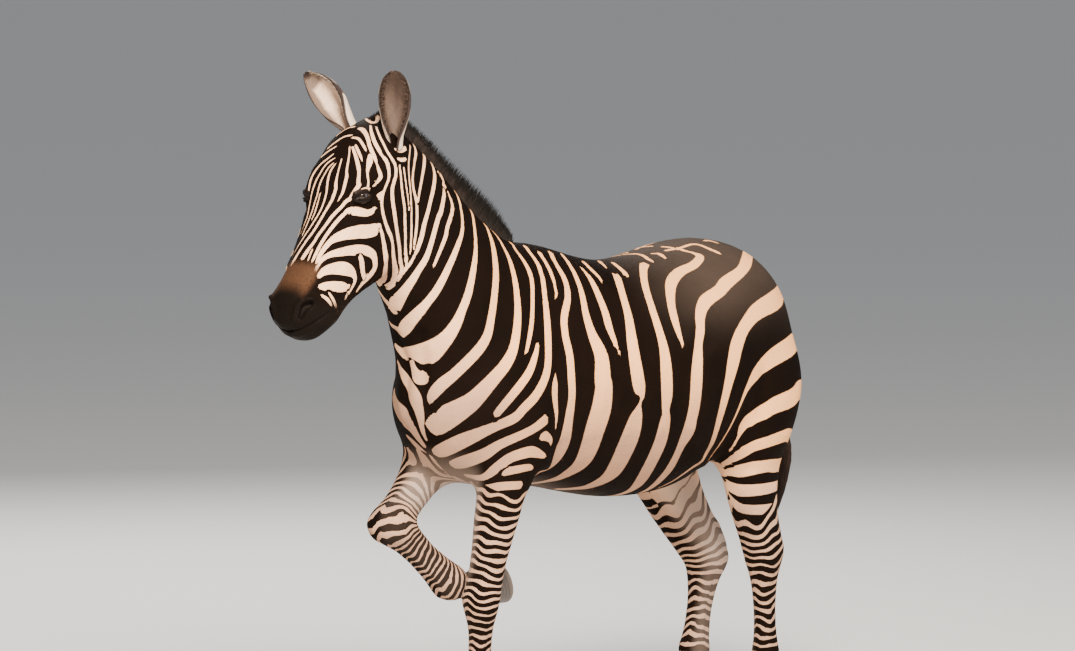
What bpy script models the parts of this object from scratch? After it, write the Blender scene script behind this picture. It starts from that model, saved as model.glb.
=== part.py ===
"""A plains zebra in mid-stride, life size: head, neck, trunk, legs, hoofs, ears, eyes, mane and tail as solids.

The animal faces -X, its left side is towards -Y and +Z is up. The body is modelled whole: every form
is a loft, a section carried along a path, and the lofts are fused by a voxel remesh, softened where
muscles run together, thinned to facets, and then parted with thin cuts. Tables below are written
with the withers over X = 0, in metres, for an animal 1.27 m tall at the withers.
"""

import math

import bmesh
import bpy
import numpy as np
from mathutils import Matrix, Vector

# ---------------------------------------------------------------- driving dimensions
WITHERS_HEIGHT = 1.27
TABLE_HEIGHT = 1.27  # the withers height that the tables are written for
SCALE = WITHERS_HEIGHT / TABLE_HEIGHT
MID_LENGTH = 0.182  # how far behind the withers the middle of the whole length lies
MID_WIDTH = 0.0  # the same across the body

CUT = 0.0006  # width of the saw cut between two nodes
CLEAR = 0.0004  # clearance round a piece that is let into the body
VOXEL = 0.0085  # grid on which the lofts are fused
SOFT_ROUNDS = 110  # rounds of smoothing on the trunk and neck
FIRM_ROUNDS = 4  # and on the legs and head
FINE_TRIANGLES = 7800  # facets of the whole body where the head is cut from it
COARSE_TRIANGLES = 4400  # facets of the whole body where the rest is cut from it

LEFT, RIGHT = -1, 1  # sign of Y

# where the neck is parted from the trunk and the head from the neck: a point, and the way the cut faces
NECK_CUT = ((-0.155, 0.0, 1.140), (0.625, 0.0, -0.781))
HEAD_CUT = ((-0.440, 0.0, 1.390), (0.987, 0.0, -0.158))

# ---------------------------------------------------------------- trunk, neck and head
# aft of the withers, height of the widest line, top, bottom, half width, squareness above and below
TRUNK = (
    (-0.304, 0.900, 0.985, 0.805, 0.085, 2.0, 2.0),
    (-0.254, 0.890, 1.060, 0.740, 0.152, 2.0, 2.0),
    (-0.170, 0.880, 1.150, 0.695, 0.187, 2.0, 2.0),
    (-0.060, 0.880, 1.245, 0.672, 0.200, 1.9, 2.0),
    (0.030, 0.880, 1.280, 0.674, 0.208, 1.8, 2.0),
    (0.130, 0.885, 1.270, 0.660, 0.222, 1.8, 2.0),
    (0.240, 0.890, 1.240, 0.640, 0.245, 1.9, 2.0),
    (0.360, 0.895, 1.221, 0.622, 0.266, 2.0, 2.0),
    (0.480, 0.900, 1.225, 0.618, 0.276, 2.1, 1.95),
    (0.600, 0.920, 1.244, 0.630, 0.270, 2.2, 1.85),
    (0.700, 0.950, 1.263, 0.668, 0.256, 2.2, 1.7),
    (0.790, 0.980, 1.262, 0.730, 0.238, 2.2, 1.7),
    (0.880, 1.000, 1.240, 0.800, 0.212, 2.1, 1.8),
    (0.960, 1.010, 1.195, 0.860, 0.165, 2.0, 2.0),
    (1.015, 1.010, 1.120, 0.910, 0.105, 2.0, 2.0),
)
# crest aft and height, throat aft and height, half width, squareness above and below
NECK = (
    (0.120, 1.240, -0.200, 0.780, 0.150, 2.0, 2.0),
    (0.020, 1.275, -0.300, 0.900, 0.150, 1.8, 2.0),
    (-0.070, 1.325, -0.340, 0.990, 0.135, 1.7, 2.1),
    (-0.150, 1.380, -0.380, 1.080, 0.115, 1.7, 2.1),
    (-0.240, 1.460, -0.425, 1.150, 0.100, 1.7, 2.1),
    (-0.330, 1.530, -0.460, 1.230, 0.088, 1.7, 2.1),
    (-0.400, 1.565, -0.500, 1.320, 0.078, 1.8, 2.1),
)
# along the face from the poll, reach to the profile, reach to the jaw, half width, squareness
POLL = (-0.463, 1.598)
FACE_PITCH = 61.0  # degrees that the face points below level
SKULL = (
    (0.020, 0.008, 0.070, 0.068, 2.2, 2.0),
    (0.050, 0.040, 0.110, 0.089, 2.3, 2.1),
    (0.090, 0.060, 0.165, 0.101, 2.4, 2.3),
    (0.140, 0.072, 0.195, 0.104, 2.5, 2.4),
    (0.200, 0.074, 0.215, 0.101, 2.5, 2.5),
    (0.260, 0.073, 0.222, 0.096, 2.4, 2.5),
    (0.320, 0.072, 0.208, 0.089, 2.3, 2.4),
    (0.380, 0.074, 0.165, 0.082, 2.2, 2.3),
    (0.440, 0.083, 0.117, 0.078, 2.2, 2.2),
    (0.500, 0.092, 0.086, 0.076, 2.2, 2.2),
    (0.545, 0.091, 0.075, 0.076, 2.2, 2.2),
    (0.578, 0.072, 0.060, 0.067, 2.2, 2.2),
)

# ---------------------------------------------------------------- legs
# share of the way along the bone, reach to the front, reach to the back, half width
SHOULDER = (
    (0.00, 0.060, 0.070, 0.040),
    (0.25, 0.110, 0.110, 0.070),
    (0.50, 0.140, 0.140, 0.086),
    (0.75, 0.125, 0.135, 0.088),
    (1.00, 0.085, 0.092, 0.070),
)
FOREARM = (
    (-0.10, 0.076, 0.082, 0.066),
    (0.00, 0.074, 0.076, 0.063),
    (0.20, 0.069, 0.063, 0.058),
    (0.45, 0.057, 0.052, 0.052),
    (0.70, 0.047, 0.045, 0.046),
    (0.88, 0.046, 0.045, 0.046),
    (1.00, 0.050, 0.048, 0.049),
    (1.06, 0.042, 0.040, 0.042),
)
FORE_CANNON = (
    (-0.10, 0.042, 0.040, 0.042),
    (0.00, 0.049, 0.050, 0.049),
    (0.14, 0.040, 0.046, 0.042),
    (0.30, 0.031, 0.041, 0.032),
    (0.55, 0.028, 0.038, 0.029),
    (0.80, 0.031, 0.042, 0.032),
    (1.00, 0.037, 0.048, 0.039),
    (1.08, 0.029, 0.036, 0.032),
)
THIGH = (
    (0.00, 0.090, 0.100, 0.040),
    (0.25, 0.145, 0.160, 0.095),
    (0.50, 0.175, 0.186, 0.122),
    (0.72, 0.155, 0.180, 0.116),
    (0.90, 0.110, 0.170, 0.098),
    (1.00, 0.084, 0.160, 0.084),
)
GASKIN = (
    (-0.12, 0.078, 0.165, 0.088),
    (0.00, 0.070, 0.165, 0.082),
    (0.25, 0.070, 0.148, 0.066),
    (0.55, 0.074, 0.090, 0.053),
    (0.80, 0.070, 0.072, 0.045),
    (1.00, 0.062, 0.064, 0.048),
    (1.06, 0.048, 0.050, 0.042),
)
HIND_CANNON = (
    (-0.08, 0.048, 0.056, 0.042),
    (0.00, 0.058, 0.070, 0.048),
    (0.12, 0.053, 0.062, 0.046),
    (0.28, 0.038, 0.046, 0.036),
    (0.55, 0.030, 0.037, 0.029),
    (0.82, 0.031, 0.039, 0.031),
    (1.00, 0.037, 0.045, 0.039),
    (1.06, 0.029, 0.034, 0.031),
)
HOCK_TENDON = (
    (0.00, 0.020, 0.016, 0.022),
    (0.50, 0.022, 0.016, 0.017),
    (0.85, 0.028, 0.020, 0.021),
    (1.00, 0.028, 0.022, 0.023),
)
PASTERN = (
    (-0.10, 0.028, 0.032, 0.030),
    (0.00, 0.036, 0.042, 0.037),
    (0.30, 0.031, 0.035, 0.033),
    (0.70, 0.034, 0.036, 0.036),
    (1.00, 0.042, 0.040, 0.041),
    (1.40, 0.046, 0.044, 0.045),
)
# aft, out from the middle, height of each joint; "build" swells the upper and lower part to the front, back and sides; "part" is how far down the forearm or gaskin the leg is
# parted from the trunk, with the way that cut faces; "low" is how far below the knee or hock the next cut
# is, and how far it reaches; "sole" is the way the sole faces
LEGS = {
    "foreleg_left": {
        "build": ((1, 1, 1), (1, 1, 1)),
        "side": LEFT,
        "part": (0.22, (0.05, 0.0, -1.0)),
        "low": (0.045, 0.095),
        "sole": (0.0, 0.0, -1.0),
        "top": (0.020, 0.095, 1.120),
        "elbow": (-0.125, 0.115, 0.720),
        "knee": (-0.165, 0.070, 0.412),
        "fetlock": (-0.163, 0.055, 0.178),
        "coronet": (-0.203, 0.053, 0.078),
    },
    "foreleg_right": {
        "build": ((1.20, 1.04, 1.06), (1.04, 1.38, 1.14)),
        "side": RIGHT,
        "part": (0.45, (-0.70, 0.0, -0.70)),
        "low": (0.092, 0.078),
        "sole": (0.93, 0.0, 0.37),
        "top": (-0.010, 0.095, 1.120),
        "elbow": (-0.085, 0.130, 0.765),
        "knee": (-0.312, 0.098, 0.592),
        "fetlock": (-0.140, 0.055, 0.432),
        "coronet": (-0.040, 0.052, 0.425),
    },
    "hindleg_left": {
        "build": ((1, 1, 1), (1, 1, 1)),
        "side": LEFT,
        "part": (0.34, (0.15, 0.0, -1.0)),
        "low": (0.060, 0.095),
        "sole": (0.0, 0.0, -1.0),
        "top": (0.860, 0.110, 1.110),
        "stifle": (0.775, 0.140, 0.740),
        "hock": (0.925, 0.098, 0.462),
        "fetlock": (0.945, 0.090, 0.182),
        "coronet": (0.903, 0.090, 0.080),
    },
    "hindleg_right": {
        "build": ((1.14, 1.10, 1.10), (1.14, 1.12, 1.12)),
        "side": RIGHT,
        "part": (0.36, (0.15, 0.0, -1.0)),
        "low": (0.060, 0.095),
        "sole": (0.0, 0.0, -1.0),
        "top": (0.840, 0.110, 1.110),
        "stifle": (0.715, 0.145, 0.740),
        "hock": (0.955, 0.110, 0.438),
        "fetlock": (0.890, 0.100, 0.185),
        "coronet": (0.842, 0.100, 0.082),
    },
}
CORONET_TILT = 14.0  # degrees that the top of a hoof falls towards the heel
# height from the sole as a share, shift to the front, reach to the front, reach to the back, half width
HOOF = (
    (0.00, 0.018, 0.062, 0.056, 0.052),
    (0.12, 0.016, 0.061, 0.056, 0.052),
    (0.55, 0.008, 0.053, 0.051, 0.047),
    (1.00, 0.000, 0.044, 0.042, 0.042),
)

# ---------------------------------------------------------------- ears, eyes, mane and tail
EAR_LENGTH = 0.187
EAR_WALL = 0.0045
# share of the length, radius of the cup, half the angle that it wraps, bow backwards
EAR = (
    (-0.10, 0.020, 165.0, -0.004),
    (0.05, 0.022, 150.0, 0.000),
    (0.22, 0.030, 125.0, 0.004),
    (0.42, 0.039, 98.0, 0.006),
    (0.62, 0.041, 84.0, 0.004),
    (0.80, 0.035, 74.0, 0.000),
    (0.92, 0.024, 68.0, -0.004),
    (0.98, 0.013, 64.0, -0.006),
    (1.00, 0.006, 62.0, -0.007),
)
# along the face from the poll, out, above the face line; the way the ear points; the way its cup faces
EAR_PLACE = {LEFT: (0.075, -0.086, 0.004), RIGHT: (0.050, 0.058, 0.014)}
EAR_AXIS = {LEFT: (-0.36, -0.31, 0.90), RIGHT: (-0.02, 0.75, 0.70)}
EAR_OPENING = {LEFT: (-0.77, -0.62, 0.10), RIGHT: (-0.92, -0.05, 0.20)}
EYE_RADIUS = 0.0205
EYE_PLACE = (0.246, 0.0870, 0.043)  # along the face, out, above the face line
# crest aft and height, way the hair stands (aft, up), length of hair, half width
MANE = (
    (-0.490, 1.572, -0.20, 0.98, 0.012, 0.010),
    (-0.450, 1.582, 0.00, 1.00, 0.018, 0.014),
    (-0.400, 1.568, 0.35, 0.94, 0.021, 0.016),
    (-0.330, 1.530, 0.55, 0.84, 0.023, 0.017),
    (-0.240, 1.460, 0.62, 0.79, 0.030, 0.018),
    (-0.150, 1.380, 0.62, 0.79, 0.044, 0.018),
    (-0.070, 1.325, 0.50, 0.87, 0.044, 0.017),
    (-0.010, 1.290, 0.40, 0.92, 0.028, 0.014),
    (0.030, 1.275, 0.30, 0.95, 0.010, 0.010),
)
# aft, out, height, radius
TAIL = (
    (0.985, 0.000, 1.150, 0.034),
    (1.045, 0.000, 1.125, 0.031),
    (1.092, 0.000, 1.060, 0.026),
    (1.115, 0.000, 0.960, 0.021),
    (1.122, 0.002, 0.860, 0.017),
    (1.124, 0.004, 0.775, 0.015),
)
TUFT = (
    (1.1242, 0.004, 0.7745, 0.016),
    (1.130, 0.008, 0.735, 0.028),
    (1.133, 0.015, 0.680, 0.038),
    (1.118, 0.025, 0.600, 0.040),
    (1.095, 0.034, 0.520, 0.034),
    (1.075, 0.040, 0.450, 0.020),
    (1.066, 0.040, 0.425, 0.008),
)


# ---------------------------------------------------------------- modelling helpers
def clear_scene():
    for old in list(bpy.data.objects):
        bpy.data.objects.remove(old)


def smooth_rows(rows, per_span):
    """Catmull-Rom curve through the rows of a table, with per_span steps from each row to the next."""
    table = np.array(rows, float)
    padded = np.vstack([2 * table[0] - table[1], table, 2 * table[-1] - table[-2]])
    out = []
    for i in range(1, len(padded) - 2):
        a, b, c, d = padded[i - 1 : i + 3]
        for t in np.arange(per_span) / per_span:
            cubic = 2 * b + (c - a) * t + (2 * a - 5 * b + 4 * c - d) * t**2 + (3 * b - a - 3 * c + d) * t**3
            out.append(cubic / 2)
    out.append(table[-1])
    return np.array(out)


def section(centre, up, side, reach, width, power, around):
    """Points of a superellipse whose upper and lower halves have their own reach and squareness."""
    points = []
    for k in range(around):
        angle = 2 * math.pi * k / around
        c, s = math.cos(angle), math.sin(angle)
        half = 0 if c >= 0 else 1
        p = 2.0 / power[half]
        rise = math.copysign(abs(c) ** p, c) * reach[half]
        across = math.copysign(abs(s) ** p, s) * width
        points.append(centre + up * rise + side * across)
    return points


def loft(rows, around=20, dome=(0.5, 0.5)):
    """Closed surface through sections (centre, upwards, reach up, reach down, half width, two powers).

    Each end is closed by a dome whose height is that share of the end section's half width, or flat."""
    across = Vector((0, 1, 0))
    rings = []
    for i, (centre, up, above, below, width, first, second) in enumerate(rows):
        side = across if abs(up.y) < 1e-6 else (across - up * up.y).normalized()
        sized = ((above, below), width, (first, second))
        ahead = rows[min(i + 1, len(rows) - 1)][0] - rows[max(i - 1, 0)][0]
        ahead = (ahead - up * ahead.dot(up)).normalized()
        if i == 0 and dome:
            rings += dome_rings(centre, -ahead, up, side, sized, dome[0], around)[::-1]
        rings.append(section(centre, up, side, *sized, around))
        if i == len(rows) - 1 and dome:
            rings += dome_rings(centre, ahead, up, side, sized, dome[1], around)
    shape = bmesh.new()
    loops = [[shape.verts.new(p) for p in ring] for ring in rings]
    for first, second in zip(loops, loops[1:]):
        for k in range(around):
            n = (k + 1) % around
            shape.faces.new((first[k], first[n], second[n], second[k]))
    shape.faces.new(loops[0][::-1])
    shape.faces.new(loops[-1])
    bmesh.ops.recalc_face_normals(shape, faces=shape.faces)
    return shape


def dome_rings(centre, outwards, up, side, sized, share, around):
    """Three shrinking sections that round off the end of a loft."""
    reach, width, power = sized
    rings = []
    for degrees in (28, 54, 78):
        c, s = math.cos(math.radians(degrees)), math.sin(math.radians(degrees))
        middle = centre + outwards * (width * share * s)
        rings.append(section(middle, up, side, (reach[0] * c, reach[1] * c), width * c, power, around))
    return rings


def ball(centre, radii, turn=(0, 0, 0)):
    """An ellipsoid, for a muscle or a knuckle."""
    shape = bmesh.new()
    bmesh.ops.create_icosphere(shape, subdivisions=3, radius=1.0)
    spin = Matrix.Rotation(math.radians(turn[2]), 4, "Z") @ Matrix.Rotation(math.radians(turn[1]), 4, "Y")
    spin = spin @ Matrix.Rotation(math.radians(turn[0]), 4, "X")
    place = Matrix.Translation(Vector(centre)) @ spin @ Matrix.Diagonal((*radii, 1.0))
    bmesh.ops.transform(shape, matrix=place, verts=shape.verts)
    return shape


def mesh_object(name, shape):
    """A new object in the scene from a bmesh, which is freed."""
    mesh = bpy.data.meshes.new(name)
    shape.to_mesh(mesh)
    shape.free()
    made = bpy.data.objects.new(name, mesh)
    bpy.context.scene.collection.objects.link(made)
    return made


def joined(name, shapes):
    """Several closed shapes in one object, still overlapping."""
    together = bmesh.new()
    for shape in shapes:
        piece = bpy.data.meshes.new("piece")
        shape.to_mesh(piece)
        shape.free()
        together.from_mesh(piece)
        bpy.data.meshes.remove(piece)
    return mesh_object(name, together)


def apply_modifiers(made):
    """Keeps the evaluated mesh and drops the modifiers."""
    bpy.context.view_layer.update()
    graph = bpy.context.evaluated_depsgraph_get()
    mesh = bpy.data.meshes.new_from_object(made.evaluated_get(graph))
    made.modifiers.clear()
    old, made.data = made.data, mesh
    bpy.data.meshes.remove(old)
    return made


# ---------------------------------------------------------------- the forms of the body
FACE_DOWN = Vector((-math.cos(math.radians(FACE_PITCH)), 0, -math.sin(math.radians(FACE_PITCH))))
FACE_UP = Vector((-math.sin(math.radians(FACE_PITCH)), 0, math.cos(math.radians(FACE_PITCH))))


def face_point(along, out=0.0, above=0.0):
    """A point of the head: along the face from the poll, out to the right, above the face line."""
    return Vector((POLL[0], out, POLL[1])) + FACE_DOWN * along + FACE_UP * above


def trunk_forms():
    rows = []
    for aft, height, top, bottom, width, above, below in smooth_rows(TRUNK, 3):
        upwards = Vector((0, 0, 1))
        rows.append((Vector((aft, 0, height)), upwards, top - height, height - bottom, width, above, below))
    return [loft(rows, 32, (0.5, 0.45))]


def neck_forms():
    rows = []
    for crest_x, crest_z, throat_x, throat_z, width, above, below in smooth_rows(NECK, 3):
        crest, throat = Vector((crest_x, 0, crest_z)), Vector((throat_x, 0, throat_z))
        centre = crest.lerp(throat, 0.55)
        upwards = (crest - throat).normalized()
        rows.append((centre, upwards, (crest - centre).length, (throat - centre).length, width, above, below))
    return [loft(rows, 24)]


def head_forms():
    rows = []
    for along, profile, jaw, width, above, below in smooth_rows(SKULL, 3):
        rows.append((face_point(along), FACE_UP, profile, jaw, width, above, below))
    shapes = [loft(rows, 28, (0.6, 0.6))]
    tilt = (0, -FACE_PITCH, 0)
    for side in (LEFT, RIGHT):
        shapes.append(ball(face_point(0.212, side * 0.080, 0.042), (0.068, 0.022, 0.026), tilt))
        shapes.append(ball(face_point(0.535, side * 0.050, 0.046), (0.042, 0.029, 0.034), tilt))
    return shapes


def bone(start, end, table, around=16, dome=(0.5, 0.5), build=(1, 1, 1)):
    """A leg segment: the table's reaches set off to front and back of the line from joint to joint."""
    start, end = Vector(start), Vector(end)
    rows = []
    for share, front, back, width in smooth_rows(table, 2):
        centre = start.lerp(end, share)
        reach = (front * build[0], back * build[1], width * build[2])
        rows.append((centre, forward_of(start, end), *reach, 2.2, 2.2))
    return loft(rows, around, dome)


def forward_of(start, end):
    """The front of a segment, square to it in its own upright plane."""
    along = (end - start).normalized()
    return Vector((0, 1, 0)).cross(along)


def joint(leg, name):
    """A joint's place in the tables' frame, with its side's sign on Y."""
    aft, out, height = leg[name]
    return Vector((aft, leg["side"] * out, height))


def leg_forms(leg):
    top, fetlock, coronet = joint(leg, "top"), joint(leg, "fetlock"), joint(leg, "coronet")
    shapes = []
    if "elbow" in leg:
        elbow, knee = joint(leg, "elbow"), joint(leg, "knee")
        shapes.append(bone(top, elbow, SHOULDER, 20))
        shapes.append(bone(elbow, knee, FOREARM, build=leg["build"][0]))
        shapes.append(bone(knee, fetlock, FORE_CANNON, build=leg["build"][1]))
    else:
        stifle, hock = joint(leg, "stifle"), joint(leg, "hock")
        shapes.append(bone(top, stifle, THIGH, 24))
        shapes.append(bone(stifle, hock, GASKIN, build=leg["build"][0]))
        shapes.append(bone(hock, fetlock, HIND_CANNON, build=leg["build"][1]))
        back = -forward_of(stifle, hock)
        point = hock + back * 0.030 + Vector((0.012, 0, 0.040))
        shapes.append(bone(stifle.lerp(hock, 0.40) + back * 0.045, point, HOCK_TENDON))
    shapes.append(bone(fetlock, coronet, PASTERN))
    return shapes


def whole_body():
    """Every form of flesh fused into one closed surface, softened where muscles run together."""
    shapes = trunk_forms() + neck_forms() + head_forms()
    for leg in LEGS.values():
        shapes += leg_forms(leg)
    body = joined("whole_body", shapes)
    fuse = body.modifiers.new("fuse", "REMESH")
    fuse.mode = "VOXEL"
    fuse.voxel_size = VOXEL
    apply_modifiers(body)
    soft = body.vertex_groups.new(name="soft")
    firm = body.vertex_groups.new(name="firm")
    for vertex in body.data.vertices:
        softness = softness_at(vertex.co)
        soft.add([vertex.index], softness, "REPLACE")
        firm.add([vertex.index], 1.0 - softness, "REPLACE")
    for group, rounds in (("soft", SOFT_ROUNDS), ("firm", FIRM_ROUNDS)):
        ease = body.modifiers.new(group, "SMOOTH")
        ease.factor = 0.5
        ease.iterations = rounds
        ease.vertex_group = group
    return apply_modifiers(body)


def ramp(value, low, high):
    """0 below low, 1 above high, smooth between."""
    t = min(1.0, max(0.0, (value - low) / (high - low)))
    return t * t * (3 - 2 * t)


def softness_at(point):
    """How far the surface is softened: fully on the trunk, hardly on the legs and the head."""
    above_legs = ramp(point.z, 0.60, 0.74)
    behind_head = 1.0 - ramp((point - face_point(0.10)).dot(FACE_DOWN), -0.10, 0.05)
    behind_jaw = ramp(point.x, -0.52, -0.40) if point.z > 1.1 else 1.0
    return above_legs * max(behind_head, behind_jaw, 0.10)


# ---------------------------------------------------------------- parting the body into nodes
def saw(shape, point, normal, reach):
    """Parts the flesh within reach of a point by a cut square to normal, and closes both faces."""
    for shift in (CUT / 2, -CUT / 2):
        near = [f for f in shape.faces if (f.calc_center_median() - point).length < reach]
        around = near + list({e for f in near for e in f.edges}) + list({v for f in near for v in f.verts})
        bmesh.ops.bisect_plane(shape, geom=around, plane_co=point + normal * shift, plane_no=normal, dist=1e-6)
    kerf = []
    for f in shape.faces:
        centre = f.calc_center_median() - point
        if centre.length < reach and abs(centre.dot(normal)) < CUT / 2 - 1e-6:
            kerf.append(f)
    bmesh.ops.delete(shape, geom=kerf, context="FACES")
    rims = [e for e in shape.edges if e.is_boundary]
    filled = bmesh.ops.holes_fill(shape, edges=rims, sides=0)
    bmesh.ops.triangulate(shape, faces=filled["faces"])
    loose = [v for v in shape.verts if not v.link_faces]
    bmesh.ops.delete(shape, geom=loose, context="VERTS")


def pieces(shape):
    """The closed pieces of a shape as lists of faces."""
    left = set(shape.faces)
    found = []
    while left:
        seed = left.pop()
        piece, queue = {seed}, [seed]
        while queue:
            for e in queue.pop().edges:
                for f in e.link_faces:
                    if f in left:
                        left.discard(f)
                        piece.add(f)
                        queue.append(f)
        found.append(piece)
    return found


def piece_near(shape, point):
    """A new bmesh holding only the piece whose surface is nearest to a point."""
    best = min(pieces(shape), key=lambda faces: min((f.calc_center_median() - point).length for f in faces))
    order = {}
    made = bmesh.new()
    for f in best:
        corners = []
        for v in f.verts:
            if v.index not in order:
                order[v.index] = made.verts.new(v.co)
            corners.append(order[v.index])
        made.faces.new(corners)
    bmesh.ops.recalc_face_normals(made, faces=made.faces)
    return made


def thinned(body, triangles):
    """A bmesh of the body brought down to about that many triangles."""
    thin = body.modifiers.new("thin", "DECIMATE")
    body.data.calc_loop_triangles()
    thin.ratio = triangles / len(body.data.loop_triangles)
    bpy.context.view_layer.update()
    graph = bpy.context.evaluated_depsgraph_get()
    shape = bmesh.new()
    shape.from_object(body, graph)
    body.modifiers.remove(thin)
    bmesh.ops.triangulate(shape, faces=shape.faces)
    return shape


def leg_cuts(leg):
    """The cuts that part a leg: (point, normal, reach) at the top, below the knee or hock, at the hoof."""
    fetlock, coronet = joint(leg, "fetlock"), joint(leg, "coronet")
    first = joint(leg, "elbow" if "elbow" in leg else "stifle")
    middle = joint(leg, "knee" if "elbow" in leg else "hock")
    share, facing = leg["part"]
    lower = (fetlock - middle).normalized()
    return (
        (first.lerp(middle, share), Vector(facing).normalized(), 0.150),
        (middle + lower * leg["low"][0], lower, leg["low"][1]),
        (coronet, coronet_facing(leg), 0.075),
    )


def coronet_facing(leg):
    """Square to the top of the hoof, towards the sole."""
    sole, tilt = Vector(leg["sole"]).normalized(), math.radians(CORONET_TILT)
    return sole * math.cos(tilt) - Vector((0, 1, 0)).cross(sole) * math.sin(tilt)


def hoof(name, leg):
    """The hoof of a leg, its flat top a cut's width from the leg, its sole flat."""
    coronet, sole = joint(leg, "coronet"), Vector(leg["sole"]).normalized()
    front = Vector((0, 1, 0)).cross(sole)
    height = leg["coronet"][2] if sole.z < -0.99 else 0.078
    rows = []
    for share, shift, ahead, back, width in smooth_rows(HOOF, 2):
        centre = coronet + sole * (height * (1 - share * 1.35)) + front * shift
        rows.append((centre, front, ahead, back, width, 2.2, 2.2))
    shape = loft(rows, 16, None)
    facing = coronet_facing(leg)
    slice_off(shape, coronet + facing * (CUT / 2), -facing)
    return mesh_object(name, shape)


def slice_off(shape, point, normal):
    """Takes away what lies beyond a plane and closes the face."""
    everything = list(shape.verts) + list(shape.edges) + list(shape.faces)
    bmesh.ops.bisect_plane(shape, geom=everything, plane_co=point, plane_no=normal, clear_outer=True, dist=1e-6)
    rims = [e for e in shape.edges if e.is_boundary]
    filled = bmesh.ops.holes_fill(shape, edges=rims, sides=0)
    bmesh.ops.triangulate(shape, faces=filled["faces"])
    bmesh.ops.recalc_face_normals(shape, faces=shape.faces)


def fitted(made, body):
    """Trims a piece back to the body's surface, with the clearance between them."""
    keep_off = bpy.data.objects.new("keep_off", body.data.copy())
    bpy.context.scene.collection.objects.link(keep_off)
    swell = keep_off.modifiers.new("clearance", "DISPLACE")
    swell.strength = CLEAR
    swell.mid_level = 0.0
    trim = made.modifiers.new("trim", "BOOLEAN")
    trim.object = keep_off
    trim.operation = "DIFFERENCE"
    trim.solver = "EXACT"
    apply_modifiers(made)
    bpy.data.objects.remove(keep_off)
    shape = bmesh.new()
    shape.from_mesh(made.data)
    return shape


def keep_largest(made, shape):
    """Keeps the biggest closed piece of what a trim leaves."""
    best = max(pieces(shape), key=lambda faces: sum(f.calc_area() for f in faces))
    drop = [f for f in shape.faces if f not in best]
    bmesh.ops.delete(shape, geom=drop, context="FACES")
    loose = [v for v in shape.verts if not v.link_faces]
    bmesh.ops.delete(shape, geom=loose, context="VERTS")
    shape.to_mesh(made.data)
    shape.free()


def ear(name, side):
    """A cupped leaf of even wall: an arc of a cone outside, the same arc a wall's thickness inside."""
    base = face_point(*EAR_PLACE[side])
    long_axis = Vector(EAR_AXIS[side]).normalized()
    opening = Vector(EAR_OPENING[side])
    opening = (opening - long_axis * opening.dot(long_axis)).normalized()
    across = long_axis.cross(opening)
    rings = []
    steps = 8
    for share, radius, wrap, bow in EAR:
        centre = base + long_axis * (EAR_LENGTH * share) - opening * bow
        ring = []
        for reach, turns in ((radius, 1), (max(radius - EAR_WALL, radius * 0.3), -1)):
            for k in range(steps + 1):
                angle = math.radians(wrap) * (2 * k / steps - 1) * turns
                ring.append(centre - opening * (reach * math.cos(angle)) + across * (reach * math.sin(angle)))
        rings.append(ring)
    shape = bmesh.new()
    loops = [[shape.verts.new(p) for p in ring] for ring in rings]
    for first, second in zip(loops, loops[1:]):
        for k in range(len(first)):
            n = (k + 1) % len(first)
            shape.faces.new((first[k], first[n], second[n], second[k]))
    for ends in (loops[0][::-1], loops[-1]):
        for k in range(steps):
            shape.faces.new((ends[k], ends[k + 1], ends[-k - 2], ends[-k - 1]))
    bmesh.ops.triangulate(shape, faces=shape.faces)
    bmesh.ops.recalc_face_normals(shape, faces=shape.faces)
    return mesh_object(name, shape)


def mane(name):
    """The standing hair of the crest, from the forelock to the withers."""
    rows = []
    for aft, height, lean, rise, length, width in smooth_rows(MANE, 2):
        upwards = Vector((lean, 0, rise)).normalized()
        rows.append((Vector((aft, 0, height)), upwards, length, 0.030, width, 1.6, 2.0))
    shape = loft(rows, 8, (0.4, 0.4))
    bmesh.ops.triangulate(shape, faces=shape.faces)
    return mesh_object(name, shape)


def hanging(name, table, around):
    """The dock or the tuft of the tail: round sections along a path."""
    rows = []
    for aft, out, height, radius in smooth_rows(table, 2):
        rows.append((Vector((aft, out, height)), Vector((-1, 0, 0)), radius, radius, radius, 2.0, 2.0))
    shape = loft(rows, around, None if name == "tail" else (0.0, 0.8))
    bmesh.ops.triangulate(shape, faces=shape.faces)
    return mesh_object(name, shape)


def eye(name, side):
    """The ball of the eye."""
    shape = bmesh.new()
    bmesh.ops.create_uvsphere(shape, u_segments=14, v_segments=9, radius=EYE_RADIUS)
    bmesh.ops.triangulate(shape, faces=shape.faces)
    along, out, above = EYE_PLACE
    bmesh.ops.translate(shape, vec=face_point(along, side * out, above), verts=shape.verts)
    return mesh_object(name, shape)


def eye_socket(head, ball_object):
    """Lets the head in round the ball of an eye, with the clearance."""
    shape = bmesh.new()
    shape.from_mesh(ball_object.data)
    centre = sum((v.co for v in shape.verts), Vector()) / len(shape.verts)
    for v in shape.verts:
        v.co = centre + (v.co - centre) * ((EYE_RADIUS + CLEAR) / EYE_RADIUS)
    cutter = mesh_object("socket_cutter", shape)
    pocket = head.modifiers.new("socket", "BOOLEAN")
    pocket.object = cutter
    pocket.operation = "DIFFERENCE"
    pocket.solver = "EXACT"
    apply_modifiers(head)
    bpy.data.objects.remove(cutter)


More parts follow.
